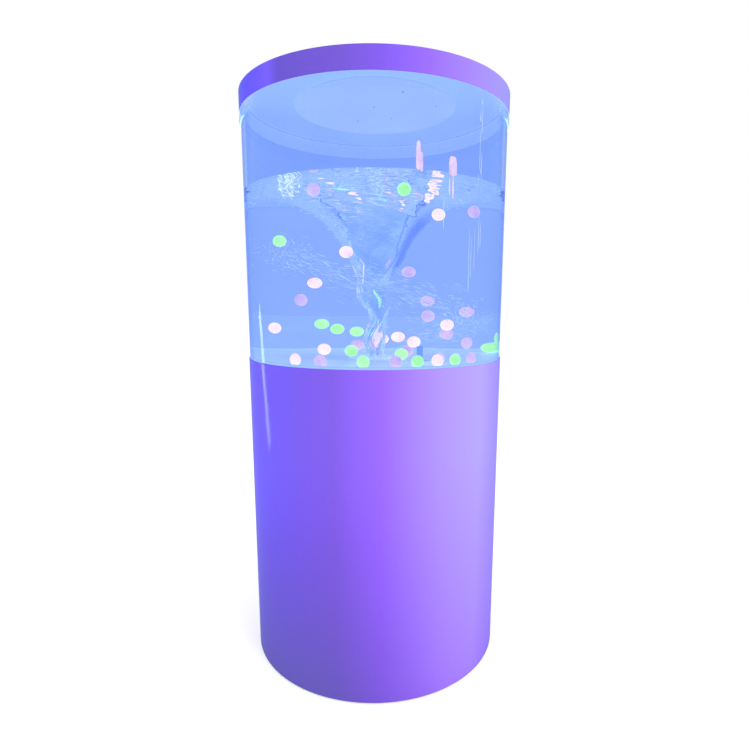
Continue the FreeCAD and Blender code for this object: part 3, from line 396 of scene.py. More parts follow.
def makeFloorGlow(look):  # translucent white floor over the ring of lights
    material, tree, sockets = newMaterial("floor_glow", Emission_Strength=look["strength"])
    away = calc(tree, "SUBTRACT", axisDistance(tree, *objectParts(tree)[:2]), look["ring"])
    near = spread(tree, calc(tree, "ABSOLUTE", away), look["width"], 0.0)
    colourIn(tree, sockets["Emission Color"], near, look["dim"], look["bright"])
    out = useGroup(tree, grain, scale=200.0, cloud=8.0)
    colourIn(tree, sockets["Base Color"], out["tone"], *look["tones"])
    roughen(tree, sockets, out["tone"], look["rough"])
    return material


materials["floor_glow"] = makeFloorGlow(floorGlow)

ballGlow = {  # two tones of the light that each colour gives
    "green_ball": ((0.56, 1.25, 0.27), (0.86, 1.60, 0.46)),
    "white_ball": ((1.75, 0.90, 0.68), (2.05, 1.30, 0.84)),
    "pink_ball": ((0.82, 0.50, 0.86), (1.32, 0.78, 0.97)),
}
ballLook = {"strength": 2.0, "paint": 0.35, "tone": (0.36, 0.62), "bump": 3e-5}


def makeBall(name, glow):  # hollow translucent ball that glows in the tank's light
    look = ballLook
    material, tree, sockets = newMaterial(name, Emission_Strength=look["strength"], Roughness=0.3)
    out = useGroup(tree, grain, scale=900.0, cloud=70.0)
    tone = spread(tree, out["tone"], *look["tone"])
    light = dimmed(glow, 1 / look["strength"])  # the strength brings it up again
    paint = dimmed([[min(part, 1.0) for part in colour] for colour in glow], look["paint"])
    colourIn(tree, sockets["Emission Color"], tone, *light)
    colourIn(tree, sockets["Base Color"], tone, *paint)
    addBump(tree, sockets, out["height"], look["bump"])
    return material


for name, look in ballGlow.items():
    materials[name] = makeBall(name, look)

waterLook = {
    "body": ((0.95, 0.975, 1.0), (0.99, 0.995, 1.0)), "ior": 1.333,
    "caught": (0.42, 0.60), "mirrored": (0.34, 0.40), "glow": (0.26, 0.36, 0.56),
    # painted shade in the streaks, painted glints in the sparkle and a faint painted glow in the haze
    "clear": (0.93, 0.96, 1.0), "deep": (0.30, 0.47, 1.0), "sparkle": (0.50, 0.62, 0.80), "strength": 0.7,
    "haze": (0.030, 0.045, 0.075),
    "broad": {"twist": 2.2, "climb": 12.0, "fineness": 1.1, "length": 3.0, "low": 0.42, "high": 0.62},
    "fine": {"twist": 3.4, "climb": 30.0, "fineness": 16.0, "length": 26.0, "low": 0.45, "high": 0.68},
    "glint": {"twist": 4.2, "climb": 34.0, "fineness": 22.0, "length": 60.0, "low": 0.60, "high": 0.74},
    "broadShare": 0.55, "fineShare": 0.6,
}


def makeWater(look):
    material, tree, sockets = newClear("water", look["ior"])
    out = useGroup(tree, grain, scale=40.0, cloud=6.0)
    colourIn(tree, sockets["Base Color"], out["tone"], *look["body"])
    away = turnedAway(tree)
    inside = addNode(tree, "NewGeometry").outputs["Backfacing"]
    # painted reflection where the inside is seen at a slant
    mirrored = calc(tree, "MULTIPLY", inside, spread(tree, away, *look["mirrored"]))
    caught = calc(tree, "MAXIMUM", mirrored, spread(tree, away, *look["caught"]))  # painted glow of light that runs round inside
    colourIn(tree, sockets["Emission Color"], caught, noLight, look["glow"])
    return material


def makeWaterSurface(look):  # streaked underside of the surface, the funnel and its core, with painted shade in the deep blue streaks and painted glints in the sparkle
    material, tree, sockets = newClear("water_surface", look["ior"], look["strength"])
    broad, fine, glint = (
        useGroup(tree, streaks, **look[label])["mask"] for label in ("broad", "fine", "glint"))
    broad = calc(tree, "MULTIPLY", broad, look["broadShare"])
    shade = calc(tree, "MAXIMUM", broad, calc(tree, "MULTIPLY", fine, look["fineShare"]))
    colourIn(tree, sockets["Base Color"], shade, look["clear"], look["deep"])
    colourIn(tree, sockets["Emission Color"], glint, look["haze"], look["sparkle"])
    return material


materials["water"] = makeWater(waterLook)
materials["water_surface"] = makeWaterSurface(waterLook)

foamLook = {"strength": 2.4, "paint": 0.1, "tone": (0.38, 0.60)}


def makeFoam(name, dim, bright, alpha=1.0, fade=""):  # bubbles, trails and drops, glowing with painted light for the light they scatter
    look = foamLook
    material, tree, sockets = newMaterial(
        name, Emission_Strength=look["strength"], Alpha=alpha, Roughness=0.4)
    out = useGroup(tree, grain, scale=500.0, cloud=60.0)
    tone = spread(tree, out["tone"], *look["tone"])
    for label, share in (("Base Color", look["paint"]), ("Emission Color", 1 / look["strength"])):
        colourIn(tree, sockets[label], tone, *dimmed((dim, bright), share))
    if fade:
        share = addNode(tree, "Attribute", attribute_name=fade).outputs["Fac"]
        tree.links.new(calc(tree, "MULTIPLY", share, alpha), sockets["Alpha"])
    return material


foams = {  # two tones, then alpha and an attribute that fades it
    "trail": ((0.60, 0.75, 1.0), (0.84, 0.96, 1.02)),
    "deep_trail": ((0.34, 0.48, 0.98), (0.46, 0.60, 1.0)),
    "sparkle": ((0.95, 1.10, 1.05), (1.60, 1.50, 1.20)),
    "flank": ((0.19, 0.32, 0.94), (0.24, 0.37, 0.97), 0.80, "fade"),
    "bubble": ((0.62, 0.78, 1.0), (1.0, 1.05, 1.05)),
    "drip": ((0.80, 0.90, 1.0), (1.30, 1.25, 1.20), 0.6),
    "speck": ((0.22, 0.30, 0.62), (0.30, 0.40, 0.76)),
    "ball_reflection_drip": ((1.30, 0.75, 0.78), (1.90, 1.15, 1.0), 0.70),
}
for name, look in foams.items():
    materials[name] = makeFoam(name, *look)
print("materials made:", len(materials))


creaseAngle, softAngle = 0.7, 1.2  # edges that bend more than this stay sharp


def spinProfile(points, closed=True, steps=smoothSteps, angle=fullTurn):  # points are (radius, height)
    bm = bmesh.new()
    verts = [bm.verts.new((radius, 0, height)) for radius, height in points]
    ends = verts[1:] + (verts[:1] if closed else [])
    edges = [bm.edges.new(pair) for pair in zip(verts, ends)]
    whole = angle == fullTurn
    bmesh.ops.spin(
        bm, geom=verts + edges, cent=(0, 0, 0), axis=(0, 0, 1), angle=angle, steps=steps, use_merge=whole)
    if not whole:
        bmesh.ops.holes_fill(bm, edges=[edge for edge in bm.edges if edge.is_boundary], sides=0)
    bmesh.ops.remove_doubles(bm, verts=bm.verts, dist=1e-6)
    bmesh.ops.recalc_face_normals(bm, faces=bm.faces)
    return bm


def roundRims(bm, width, segments=3, least=0.8):  # small radius on every sharp edge
    sharp = [edge for edge in bm.edges if len(edge.link_faces) == 2 and edge.calc_face_angle() > least]
    bmesh.ops.bevel(
        bm, geom=sharp, offset=width, offset_type="OFFSET", affect="EDGES", segments=segments,
        profile=0.5, material=-1)


def finishMesh(mesh, name, *names, sharp=creaseAngle):
    for label in names:
        mesh.materials.append(materials[label])
    mesh.shade_smooth()
    mesh.set_sharp_from_angle(angle=sharp)
    piece = bpy.data.objects.new(name, mesh)
    bpy.context.scene.collection.objects.link(piece)
    return piece


def newObject(bm, name, *names, sharp=creaseAngle):
    mesh = bpy.data.meshes.new(name)
    bm.to_mesh(mesh)
    bm.free()
    return finishMesh(mesh, name, *names, sharp=sharp)


def place(piece, body, slotName, replaced):
    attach(piece, body)
    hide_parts(replaced)


def cutOpenings(piece, cutters):
    for cutter in cutters:
        cut = piece.modifiers.new("opening", "BOOLEAN")
        cut.object = cutter
        cut.operation = "DIFFERENCE"
        cut.solver = "EXACT"
    cutMesh = bpy.data.meshes.new_from_object(piece.evaluated_get(bpy.context.evaluated_depsgraph_get()))
    piece.modifiers.clear()
    piece.data = cutMesh
    for cutter in cutters:
        bpy.data.objects.remove(cutter)


backOpenings = {
    "hatchGap": 0.0005, "hatchSteps": 48, "panelFlange": (0.010, 0.005), "panelGap": 0.0001,
    "screwHole": 0.0046, "reach": 0.03,
}


def makeCutters(look, holes):
    low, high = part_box("hatch_panel")
    gap, reach = look["hatchGap"], look["reach"]
    half = math.asin((high.x + gap) / sleeveRadius)
    section = [(tubeRadius + side * reach, level) for side, level in (
        (-1, low.z - gap), (1, low.z - gap), (1, high.z + gap), (-1, high.z + gap))]
    hatch = spinProfile(section, steps=look["hatchSteps"], angle=2 * half)
    turn = Matrix.Rotation(math.pi / 2 - half, 3, "Z")
    bmesh.ops.rotate(hatch, verts=hatch.verts, cent=(0, 0, 0), matrix=turn)
    cutters = [newObject(hatch, "hatchCutter")]
    low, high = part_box("connector_panel")
    flange = look["panelFlange"]
    size = Vector((high.x - low.x - 2 * flange[0], 2 * reach, high.z - low.z - 2 * flange[1]))
    size += Vector((2, 0, 2)) * look["panelGap"]
    middle = Vector((0, sleeveRadius, (low.z + high.z) / 2))
    panel = bmesh.new()
    bmesh.ops.create_cube(panel, size=1, matrix=Matrix.Translation(middle) @ Matrix.Diagonal((*size, 1)))
    cutters.append(newObject(panel, "panelCutter"))
    if holes:
        angle = math.asin((size.x / 2 + flange[0] / 2) / sleeveRadius)
        for side in (-1, 1):
            for up in (-1, 1):
                hole = bmesh.new()
                spot = Vector((math.sin(side * angle), math.cos(side * angle), 0)) * sleeveRadius
                spot.z = middle.z + up * size.z / 4
                turn = Matrix.Rotation(-side * angle, 4, "Z") @ Matrix.Rotation(math.pi / 2, 4, "X")
                bmesh.ops.create_cone(
                    hole, cap_ends=True, segments=32, radius1=look["screwHole"], radius2=look["screwHole"],
                    depth=reach, matrix=Matrix.Translation(spot) @ turn)
                cutters.append(newObject(hole, "screwCutter"))
    return cutters


tubeRim = {
    "round": 0.0007, "hold": 0.002,  # hold is the row beside a rounded rim that keeps the wall flat
    "split": 0.008,  # a ring of edges under the floor that keeps the openings' cuts out of the tank wall
}
sleeveRim = {"round": 0.0004, "hold": 0.0015, "wall": 0.0014}


def wallSection(inner, outer, levels):
    return [(inner, level) for level in reversed(levels)] + [(outer, level) for level in levels]


def makeTube(look):
    hold = look["hold"]
    levels = (tubeBottom, tubeBottom + hold, floorTop - look["split"], floorTop, tubeTop - hold, tubeTop)
    bm = spinProfile(wallSection(tubeRadius - wallThickness, tubeRadius, levels))
    roundRims(bm, look["round"])
    piece = newObject(bm, "tankTube", "clear_acrylic")
    cutOpenings(piece, makeCutters(backOpenings, holes=False))
    place(piece, "base", "clear_acrylic", "tube")


def makeSleeve(look):
    low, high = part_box("base_sleeve")
    levels = (low.z, low.z + look["hold"], high.z - look["hold"], high.z)
    bm = spinProfile(wallSection(sleeveRadius - look["wall"], sleeveRadius, levels))
    roundRims(bm, look["round"])
    piece = newObject(bm, "violetSleeve", "violet_acrylic")
    cutOpenings(piece, makeCutters(backOpenings, holes=True))
    place(piece, "base", "violet_acrylic", "base_sleeve")


makeTube(tubeRim)
makeSleeve(sleeveRim)
print("tube and sleeve made")

lidSizes = {
    "bandRound": 0.00012, "plateRound": 0.0008, "discRound": 0.0008, "bandWall": 0.0004,
    "bead": 0.010, "beadProud": 0.0008, "beadRows": 8, "skirtWall": 0.0012, "hold": 0.001,
}
lidSlopes = {"band": -0.1, "plate": -0.5, "disc": -0.98, "skirt": 0.7}  # part a piece's two materials


def cornerArc(radius, height, bend, start, segments=5):  # quarter circle in a section
    turns = [start + math.pi / 2 * i / segments for i in range(segments + 1)]
    return [(radius + bend * math.cos(turn), height + bend * math.sin(turn)) for turn in turns]


def discSection(outer, low, high, bend):
    edge = outer - bend
    hold = edge - 2 * bend  # rows that keep the flat faces flat beside the rounded rim
    rim = cornerArc(edge, low + bend, bend, -math.pi / 2) + cornerArc(edge, high - bend, bend, 0)
    return [(0, low), (hold, low)] + rim + [(hold, high), (0, high)]


def paintInside(bm, inwards):  # second material on the faces that are picked out
    for face in bm.faces:
        if inwards(face):
            face.material_index = 1


def makeLid(look, slopes):
    low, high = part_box("lid_band")
    outer, inner = high.x, high.x - look["bandWall"]
    levels = (low.z, low.z + look["hold"], high.z - look["hold"], high.z)
    band = spinProfile(wallSection(inner, outer, levels))
    roundRims(band, look["bandRound"])
    flat = Vector((1, 1, 0)) / outer
    paintInside(band, lambda face: face.normal.dot(face.calc_center_median() * flat) < slopes["band"])
    place(newObject(band, "lidBand", "violet_band", "band_lining"), "lid", "violet_acrylic", "lid_band")

    low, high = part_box("lid_plate")
    plate = spinProfile(discSection(high.x, low.z, high.z, look["plateRound"]), closed=False)
    paintInside(plate, lambda face: face.normal.z < slopes["plate"])
    place(newObject(plate, "lidPlate", "violet_plate", "plate_lining"), "lid", "violet_acrylic", "lid_plate")

    low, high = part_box("lid_disc")
    disc = spinProfile(discSection(high.x, low.z, high.z, look["discRound"]), closed=False)
    paintInside(disc, lambda face: face.normal.z > slopes["disc"])
    place(newObject(disc, "lidDisc", "disc_lining", "rim_lining"), "lid", "white_acrylic", "lid_disc")

    low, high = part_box("lid_skirt")
    outer = high.x - look["beadProud"]
    inner = outer - look["skirtWall"]
    bead = []
    for i in range(look["beadRows"] + 1):  # bulging bead at the skirt's foot
        share = i / look["beadRows"]
        bead.append((outer + look["beadProud"] * math.sin(math.pi * share), low.z + look["bead"] * share))
    rows = (low.z + look["bead"] + look["hold"], high.z - look["hold"], high.z)
    skirt = spinProfile(bead + [(outer, level) for level in rows] + [(inner, high.z), (inner, low.z)])
    paintInside(skirt, lambda face: abs(face.normal.z) > slopes["skirt"])
    place(newObject(skirt, "lidSkirt", "clear_skirt", "clear_foot"), "lid", "clear_acrylic", "lid_skirt")


makeLid(lidSizes, lidSlopes)
print("lid made")

water = {
    "level": 0.731, "depth": 0.133, "spread": 0.039, "throat": 0.020, "core": 0.009, "taper": 0.0375,
    "overlap": 0.0003,  # water wets the tube and the floor, so no air shows between them
    "funnelRows": 120, "funnelBend": 1.35, "coreRows": 70, "steps": 288,
    "sideRows": 12, "sideEnds": (0.004, 0.996),  # the end rows keep the side flat
}
ruffles = {
    "twist": 3.0, "climb": 20.0,
    "ridges": (  # turns, pitch, height, middle and reach in shares of the radius
        (7, 0, 0.0004, 0.35, 0.25), (13, 40, 0.0002, 0.45, 0.3)),
    "waves": (  # turns, pitch, start, height
        (9, 160, 0, 0.0003), (17, -210, 1.3, 0.00015), (31, 330, 0.4, 0.000075), (5, -90, 0, 0.00012)),
    "waveStart": 0.22, "waveGrowth": 0.3, "calmStart": 0.78, "calmGrowth": 0.15, "calm": 0.8,
    "coreStart": 0.05, "coreGrowth": 0.09, "coreFoot": 0.03, "corePitch": 58.0, "wobble": 0.0045,
    "wobbleLag": (1.1, 0.6), "flatten": (0.22, 2, -1.7), "dent": (0.08, 3, 2.6),  # size, turns, pitch
}
waterWall = tubeRadius - wallThickness + water["overlap"]
waterFoot = floorTop - water["overlap"]
throatLevel = water["level"] - water["depth"]


def clamp(value):
    return min(1.0, max(0.0, value))


def surfaceLevel(radius):
    return water["level"] - water["depth"] * math.exp((water["throat"] - radius) / water["spread"])


def coreRadius(level):
    shrink = math.exp((level - throatLevel) / water["taper"])
    return water["core"] + (water["throat"] - water["core"]) * shrink


def waterProfile(look):
    levels = [waterFoot + (throatLevel - waterFoot) * i / look["coreRows"] for i in range(look["coreRows"])]
    points = [(coreRadius(level), level) for level in levels]
    for i in range(look["funnelRows"] + 1):
        share = (i / look["funnelRows"]) ** look["funnelBend"]
        radius = look["throat"] + (waterWall - look["throat"]) * share
        points.append((radius, surfaceLevel(radius)))
    return points


def ruffle(point):  # spiral ridges on the funnel, ripples by the wall, a twisting core
    look = ruffles
    radius, angle = math.hypot(point.x, point.y), math.atan2(point.y, point.x)
    turn = angle + look["twist"] * math.log(radius) + look["climb"] * point.z
    out = radius / waterWall
    rise = wave = 0.0
    for turns, pitch, height, middle, reach in look["ridges"]:
        rise += height * math.sin(turns * turn + pitch * radius) * math.exp(-((out - middle) / reach) ** 2)
    for turns, pitch, start, height in look["waves"]:
        wave += height * math.sin(turns * angle + pitch * radius + start)
    rim = 1 - look["calm"] * clamp((out - look["calmStart"]) / look["calmGrowth"])  # calmer water by the wall
    rise += wave * clamp((out - look["waveStart"]) / look["waveGrowth"]) * rim
    depth = clamp((throatLevel + look["coreStart"] - point.z) / look["coreGrowth"])
    climb = look["corePitch"] * point.z
    size, turns, pitch = look["flatten"]
    squeeze = 1 + size * depth * math.cos(turns * angle + pitch * climb)
    size, turns, pitch = look["dent"]
    squeeze += size * depth * math.sin(turns * angle + pitch * climb)
    sway = look["wobble"] * depth * clamp((point.z - waterFoot) / look["coreFoot"])
    pace, lag = look["wobbleLag"]
    return Vector((
        point.x * squeeze + sway * math.cos(climb), point.y * squeeze + sway * math.sin(climb * pace + lag),
        point.z + rise))


def makeWaterMesh(look):
    points = waterProfile(look)
    top, rows = points[-1][1], look["sideRows"]
    first, last = look["sideEnds"]
    shares = [first] + [i / rows for i in range(1, rows)] + [last, 1.0]
    side = [(waterWall, top + (waterFoot - top) * share) for share in shares]
    bm = spinProfile(points + side, steps=look["steps"])
    atPoint, atFace = 1e-5, 5e-5  # how near a point or a face's middle is when it counts as on the wall
    for vert in bm.verts:
        radius = math.hypot(vert.co.x, vert.co.y)
        onWall = radius > waterWall - atPoint and vert.co.z < top - atPoint
        if not onWall and vert.co.z > waterFoot + atPoint:
            vert.co = ruffle(vert.co)
    for face in bm.faces:
        middle = face.calc_center_median()
        radius = math.hypot(middle.x, middle.y)
        if radius < waterWall - atFace and middle.z > waterFoot + atFace:
            face.material_index = 1
    bm.normal_update()
    piece = newObject(bm, "swirlingWater", "water", "water_surface", sharp=softAngle)
    place(piece, "swirl", "water", "water_fill")


makeWaterMesh(water)
print("water made")

ball = {"seam": 0.00012, "steps": 28, "rows": 18}


def ballCentres(node):  # middle and radius of each ball in a CAD node
    bm = bmesh.new()
    bm.from_mesh(cadNodes[node].data)
    bmesh.ops.remove_doubles(bm, verts=bm.verts, dist=1e-5)
    left, centres = set(bm.verts), []
    while left:
        group, ahead = [], [left.pop()]
        while ahead:
            vert = ahead.pop()
            group.append(vert.co.copy())
            near = [edge.other_vert(vert) for edge in vert.link_edges]
            ahead += [other for other in near if other in left]
            left.difference_update(near)
        low = Vector([min(co[axis] for co in group) for axis in range(3)])
        high = Vector([max(co[axis] for co in group) for axis in range(3)])
        centres.append(((low + high) / 2, (high.z - low.z) / 2))
    bm.free()
    return sorted(centres, key=lambda item: tuple(round(part, 5) for part in item[0]))


def makeBalls(name, node, slotName, seed):
    draw = random.Random(seed)
    bm = bmesh.new()
    for centre, radius in ballCentres(node):
        points = []
        for i in range(ball["rows"] + 1):  # half circle with the moulding seam round its middle
            turn = math.pi * (i / ball["rows"] - 0.5)
            reach = radius - ball["seam"] * (0 if i == ball["rows"] // 2 else 1)
            points.append((max(0.0, reach * math.cos(turn)), reach * math.sin(turn)))
        one = spinProfile(points, closed=False, steps=ball["steps"])
        tilt = Matrix.Rotation(draw.uniform(0, fullTurn), 4, "Z")
        tilt = tilt @ Matrix.Rotation(draw.uniform(0, math.pi), 4, "X")
        bmesh.ops.transform(one, matrix=Matrix.Translation(centre) @ tilt, verts=one.verts)
        mesh = bpy.data.meshes.new("oneBall")
        one.to_mesh(mesh)
        one.free()
        bm.from_mesh(mesh)
        bpy.data.meshes.remove(mesh)
    place(newObject(bm, name, slotName, sharp=softAngle), "swirl", slotName, node)


for seed, colour in enumerate(("green", "white", "pink")):
    makeBalls(colour + "Balls", colour + "_balls", colour + "_ball", seed)
print("balls made")


def makeDrop(around=6, rows=5):  # corners and faces of one small rounded drop
    bm = bmesh.new()
    bmesh.ops.create_uvsphere(bm, u_segments=around, v_segments=rows, radius=0.5)
    bm.verts.index_update()
    corners = [vert.co.copy() for vert in bm.verts]
    faces = [[vert.index for vert in face.verts] for face in bm.faces]
    bm.free()
    return corners, faces


def joinDrops(name, finish, drops, faces, body, replaced):  # one piece from the corners of many drops
    points, polygons = [], []
    for drop in drops:
        start = len(points)
        points += drop
        polygons += [[start + index for index in face] for face in faces]
    mesh = bpy.data.meshes.new(name)
    mesh.from_pydata(points, [], polygons)
    place(finishMesh(mesh, name, finish, sharp=softAngle), body, "water", replaced)


def scatter(name, finish, matrices, body="swirl", replaced="water_fill"):  # copies of one drop
    corners, faces = makeDrop()
    drops = [[matrix @ corner for corner in corners] for matrix in matrices]
    joinDrops(name, finish, drops, faces, body, replaced)


def onAxis(radius, angle, level):
    return Vector((radius * math.cos(angle), radius * math.sin(angle), level))


def between(span, share):
    return span[0] + (span[1] - span[0]) * share


def dash(spot, flow, long, thick):  # drop drawn out along the flow
    turn = flow.to_track_quat("Z", "Y").to_matrix().to_4x4()
    return Matrix.Translation(spot) @ turn @ Matrix.Diagonal((thick, thick, long, 1))


trails = {  # streams of fine bubbles drawn out round the funnel, in lit and painted-shade copies: finish, count, seed
    "paleTrail": ("trail", 900, 11),
    "deepTrail": ("deep_trail", 420, 12),
}
trailPath = {
    "radius": 0.112, "spreadOut": 0.016, "spreadUp": 0.012, "angles": (2.9, 7.6), "top": 0.652,
    "fallPerTurn": 0.205, "stray": 0.16, "long": (0.004, 0.016), "thick": (0.0003, 0.0008),
}


def makeTrail(name, finish, count, seed):
    draw = random.Random(seed)
    path = trailPath
    steep = path["fallPerTurn"] / (fullTurn * path["radius"])
    dashes = []
    for i in range(count):
        angle = between(path["angles"], (i + draw.random()) / count)
        level = path["top"] - path["fallPerTurn"] * (angle - path["angles"][0]) / fullTurn
        reach = path["radius"] + draw.gauss(0, path["spreadOut"])
        spot = onAxis(reach, angle, level + draw.gauss(0, path["spreadUp"]))
        slope = steep + draw.gauss(0, path["stray"])
        flow = Vector((-math.sin(angle), math.cos(angle), -slope))
        dashes.append(dash(spot, flow, draw.uniform(*path["long"]), draw.uniform(*path["thick"])))
    scatter(name, finish, dashes)


ripples = {  # dashes just under the surface, painted light and painted shade: finish, count, seed, reach, thickness
    "paleRipples": ("trail", 260, 21, (0.044, 0.180), (0.0003, 0.0008)),
    "shadedRipples": ("deep_trail", 360, 22, (0.040, 0.172), (0.0004, 0.0010)),
}
rippleLook = {
    "under": (0.0018, 0.0045), "long": (0.004, 0.016), "stray": 0.35,
    "shadeSideReach": 0.09, "shadeSideBearing": -0.42, "shadeSideWidth": 0.78,  # the last is a cosine
    "farSide": 0.55, "farBare": 0.8,  # a sine, and how many dashes are left out there
}


def makeRipples(name, finish, count, seed, reach, thick):
    draw = random.Random(seed)
    look = rippleLook
    dashes = []
    for i in range(count):
        radius, angle = draw.uniform(*reach), draw.uniform(0, fullTurn)
        onShadeSide = radius < look["shadeSideReach"] and math.cos(angle - look["shadeSideBearing"]) > look["shadeSideWidth"]
        calm = math.sin(angle) > look["farSide"] and draw.random() < look["farBare"]
        if onShadeSide or calm:  # the side under the painted shade sheet and the far side stay smooth
            continue
        spot = onAxis(radius, angle, surfaceLevel(radius) - draw.uniform(*look["under"]))
        flow = Vector((-math.sin(angle), math.cos(angle), 0))
        flow += look["stray"] * onAxis(1, angle, 0) * draw.gauss(0, 1)
        dashes.append(dash(spot, flow, draw.uniform(*look["long"]), draw.uniform(*thick)))
    scatter(name, finish, dashes)


sparkles = {
    "count": 80, "bearing": (211, 237), "reach": (0.118, 0.186), "sway": 3.6, "seed": 31,
    "under": (0.002, 0.007), "long": (0.002, 0.009), "thick": (0.0005, 0.0013),
    "fans": (-0.6, 0.75), "parting": 0.45, "rise": 0.6, "stray": 0.25,  # two fans of strokes
}


def makeSparkles(look):  # painted highlight: bright patch of glints in broken water under the surface
    draw = random.Random(look["seed"])
    stray = look["stray"]
    dashes = []
    for i in range(look["count"]):
        share = draw.random()
        radius, bearing = between(look["reach"], share), between(look["bearing"], share)
        angle = math.radians(bearing + draw.gauss(0, look["sway"]))
        spot = onAxis(radius, angle, surfaceLevel(radius) - draw.uniform(*look["under"]))
        lean = look["fans"][0 if share < look["parting"] else 1]
        flow = Vector((draw.gauss(lean, stray), draw.gauss(0, stray), draw.gauss(look["rise"], stray)))
        dashes.append(dash(spot, flow, draw.uniform(*look["long"]), draw.uniform(*look["thick"])))
    scatter("sparklePatch", "sparkle", dashes)


flank = {
    "rows": 60, "across": 16, "reach": (0.098, 0.0220), "bearing": (-0.42, -0.40), "width": (0.80, 1.00),
    "away": 0.0012, "sideFade": (0.45, 0.06), "endFade": (0.36, 0.15),  # soft on the inner side
    "sideBend": 1.3, "endBend": 1.5,
}


def makeFlankShade(look):  # painted shade: dark translucent sheet that hugs one side of the funnel
    bm = bmesh.new()
    bmesh.ops.create_grid(bm, x_segments=look["rows"], y_segments=look["across"], size=0.5)
    fade = bm.verts.layers.float.new("fade")
    start, end = look["reach"]
    (inner, outer), (top, foot) = look["sideFade"], look["endFade"]
    for vert in bm.verts:
        down, side = vert.co.x + 0.5, vert.co.y
        radius = start * (end / start) ** down
        angle = between(look["bearing"], down) + side * between(look["width"], down)
        spot = ruffle(onAxis(radius, angle, surfaceLevel(radius)))
        out = Vector((spot.x, spot.y, 0)).normalized()
        vert.co = spot + look["away"] * (out - Vector((0, 0, 1)))
        edge = clamp((side + 0.5) / inner) ** look["sideBend"] * clamp((0.5 - side) / outer)
        vert[fade] = edge * clamp(down / top) ** look["endBend"] * clamp((1 - down) / foot)
    bmesh.ops.recalc_face_normals(bm, faces=bm.faces)
    place(newObject(bm, "funnelShade", "flank", sharp=softAngle), "swirl", "water", "water_fill")


strands = {
    "rows": (  # bearing, sway, foot and top above the floor, count
        (3.25, 0.22, 0.010, 0.118, 120), (-0.5, 0.35, 0.004, 0.034, 46), (1.6, 0.8, 0.004, 0.09, 26)),
    "away": 0.0012, "stray": 0.0008, "size": (0.0006, 0.0026), "long": (1.0, 2.6), "seed": 5,
}


def makeStrands(look):  # bubbles caught on the core
    draw = random.Random(look["seed"])
    drops = []
    for bearing, sway, low, high, count in look["rows"]:
        for i in range(count):
            level = floorTop + between((low, high), i / count)
            angle = bearing + draw.gauss(0, sway)
            spot = ruffle(onAxis(coreRadius(level), angle, level))
            spot += onAxis(look["away"] + abs(draw.gauss(0, look["stray"])), angle, 0)
            size = between(look["size"], draw.random() ** 3)  # most are small
            long = size * draw.uniform(*look["long"])
            drops.append(Matrix.Translation(spot) @ Matrix.Diagonal((size, size, long, 1)))
    scatter("coreBubbles", "bubble", drops)


for name, look in trails.items():
    makeTrail(name, *look)
for name, look in ripples.items():
    makeRipples(name, *look)
makeSparkles(sparkles)
makeFlankShade(flank)
makeStrands(strands)
print("streaks and bubbles made")

drips = {  # bearing in degrees, top and foot in metres, width
    "plain": (
        (315.2, 0.829, 0.822, 0.0030), (315.6, 0.826, 0.786, 0.0012), (314.4, 0.812, 0.800, 0.0024),
        (314.6, 0.790, 0.740, 0.0012), (315.8, 0.766, 0.728, 0.0012), (315.4, 0.744, 0.736, 0.0030),
        (314.2, 0.735, 0.726, 0.0022), (296.4, 0.700, 0.660, 0.0011), (309.4, 0.667, 0.580, 0.0011),
        (310.6, 0.655, 0.600, 0.0010), (315.0, 0.690, 0.632, 0.0011), (316.2, 0.676, 0.640, 0.0014),
        (312.6, 0.668, 0.612, 0.0009),
    ),
    # peach drips that carry a painted reflection of the glowing balls
    "warm": (
        (285.8, 0.763, 0.729, 0.0070), (287.0, 0.750, 0.727, 0.0046), (300.2, 0.750, 0.726, 0.0140),
        (300.4, 0.728, 0.698, 0.0026), (298.8, 0.724, 0.703, 0.0020),
    ),
    "inset": 0.0004, "thick": 0.0008, "taper": {"plain": 0.6, "warm": 0.2},
    "leastWidth": 0.2, "blunt": 0.7,  # the ends are blunter than a drop's
}


def makeDrips(name, finish, kind):  # runs of water down the inside of the tube, drawn out at the top
    corners, faces = makeDrop(around=10, rows=12)
    radius, taper = tubeRadius - wallThickness - drips["inset"], drips["taper"][kind]
    drops = []
    for bearing, top, foot, width in drips[kind]:
        angle = math.radians(bearing)
        turn = Matrix.Translation(onAxis(radius, angle, foot)) @ Matrix.Rotation(angle, 4, "Z")
        drop = []
        for corner in corners:
            share = corner.z + 0.5
            wide = 0.5 / max(corner.xy.length, drips["leastWidth"])
            pinch = (1.0 - taper * share) * wide ** drips["blunt"]
            drop.append(turn @ Vector((
                drips["thick"] * corner.x * pinch, width * corner.y * pinch, (top - foot) * share)))
        drops.append(drop)
    joinDrops(name, finish, drops, faces, "base", "tube")


# the drips' glow is painted light, and the peach ones paint a reflection of the balls
makeDrips("wallDrips", "drip", "plain")
makeDrips("ballReflectionDrips", "ball_reflection_drip", "warm")

lidDrops = {
    "spots": ((0.039, -0.074), (-0.0016, -0.013), (-0.028, 0.0522), (0.0257, 0.0373), (0.092, -0.020)),
    "wide": 0.0034, "narrower": 0.0004, "high": 0.0016, "under": 0.0002,  # each narrower than the one before
}


def makeLidDrops(look):  # a few drops that hang under the lid's disc
    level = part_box("lid_disc")[0].z - look["under"]
    drops = []
    for i, (x, y) in enumerate(look["spots"]):
        size = look["wide"] - look["narrower"] * i
        drops.append(Matrix.Translation((x, y, level)) @ Matrix.Diagonal((size, size, look["high"], 1)))
    scatter("lidDrops", "speck", drops, "lid", "lid_disc")


makeLidDrops(lidDrops)
print("drips made")

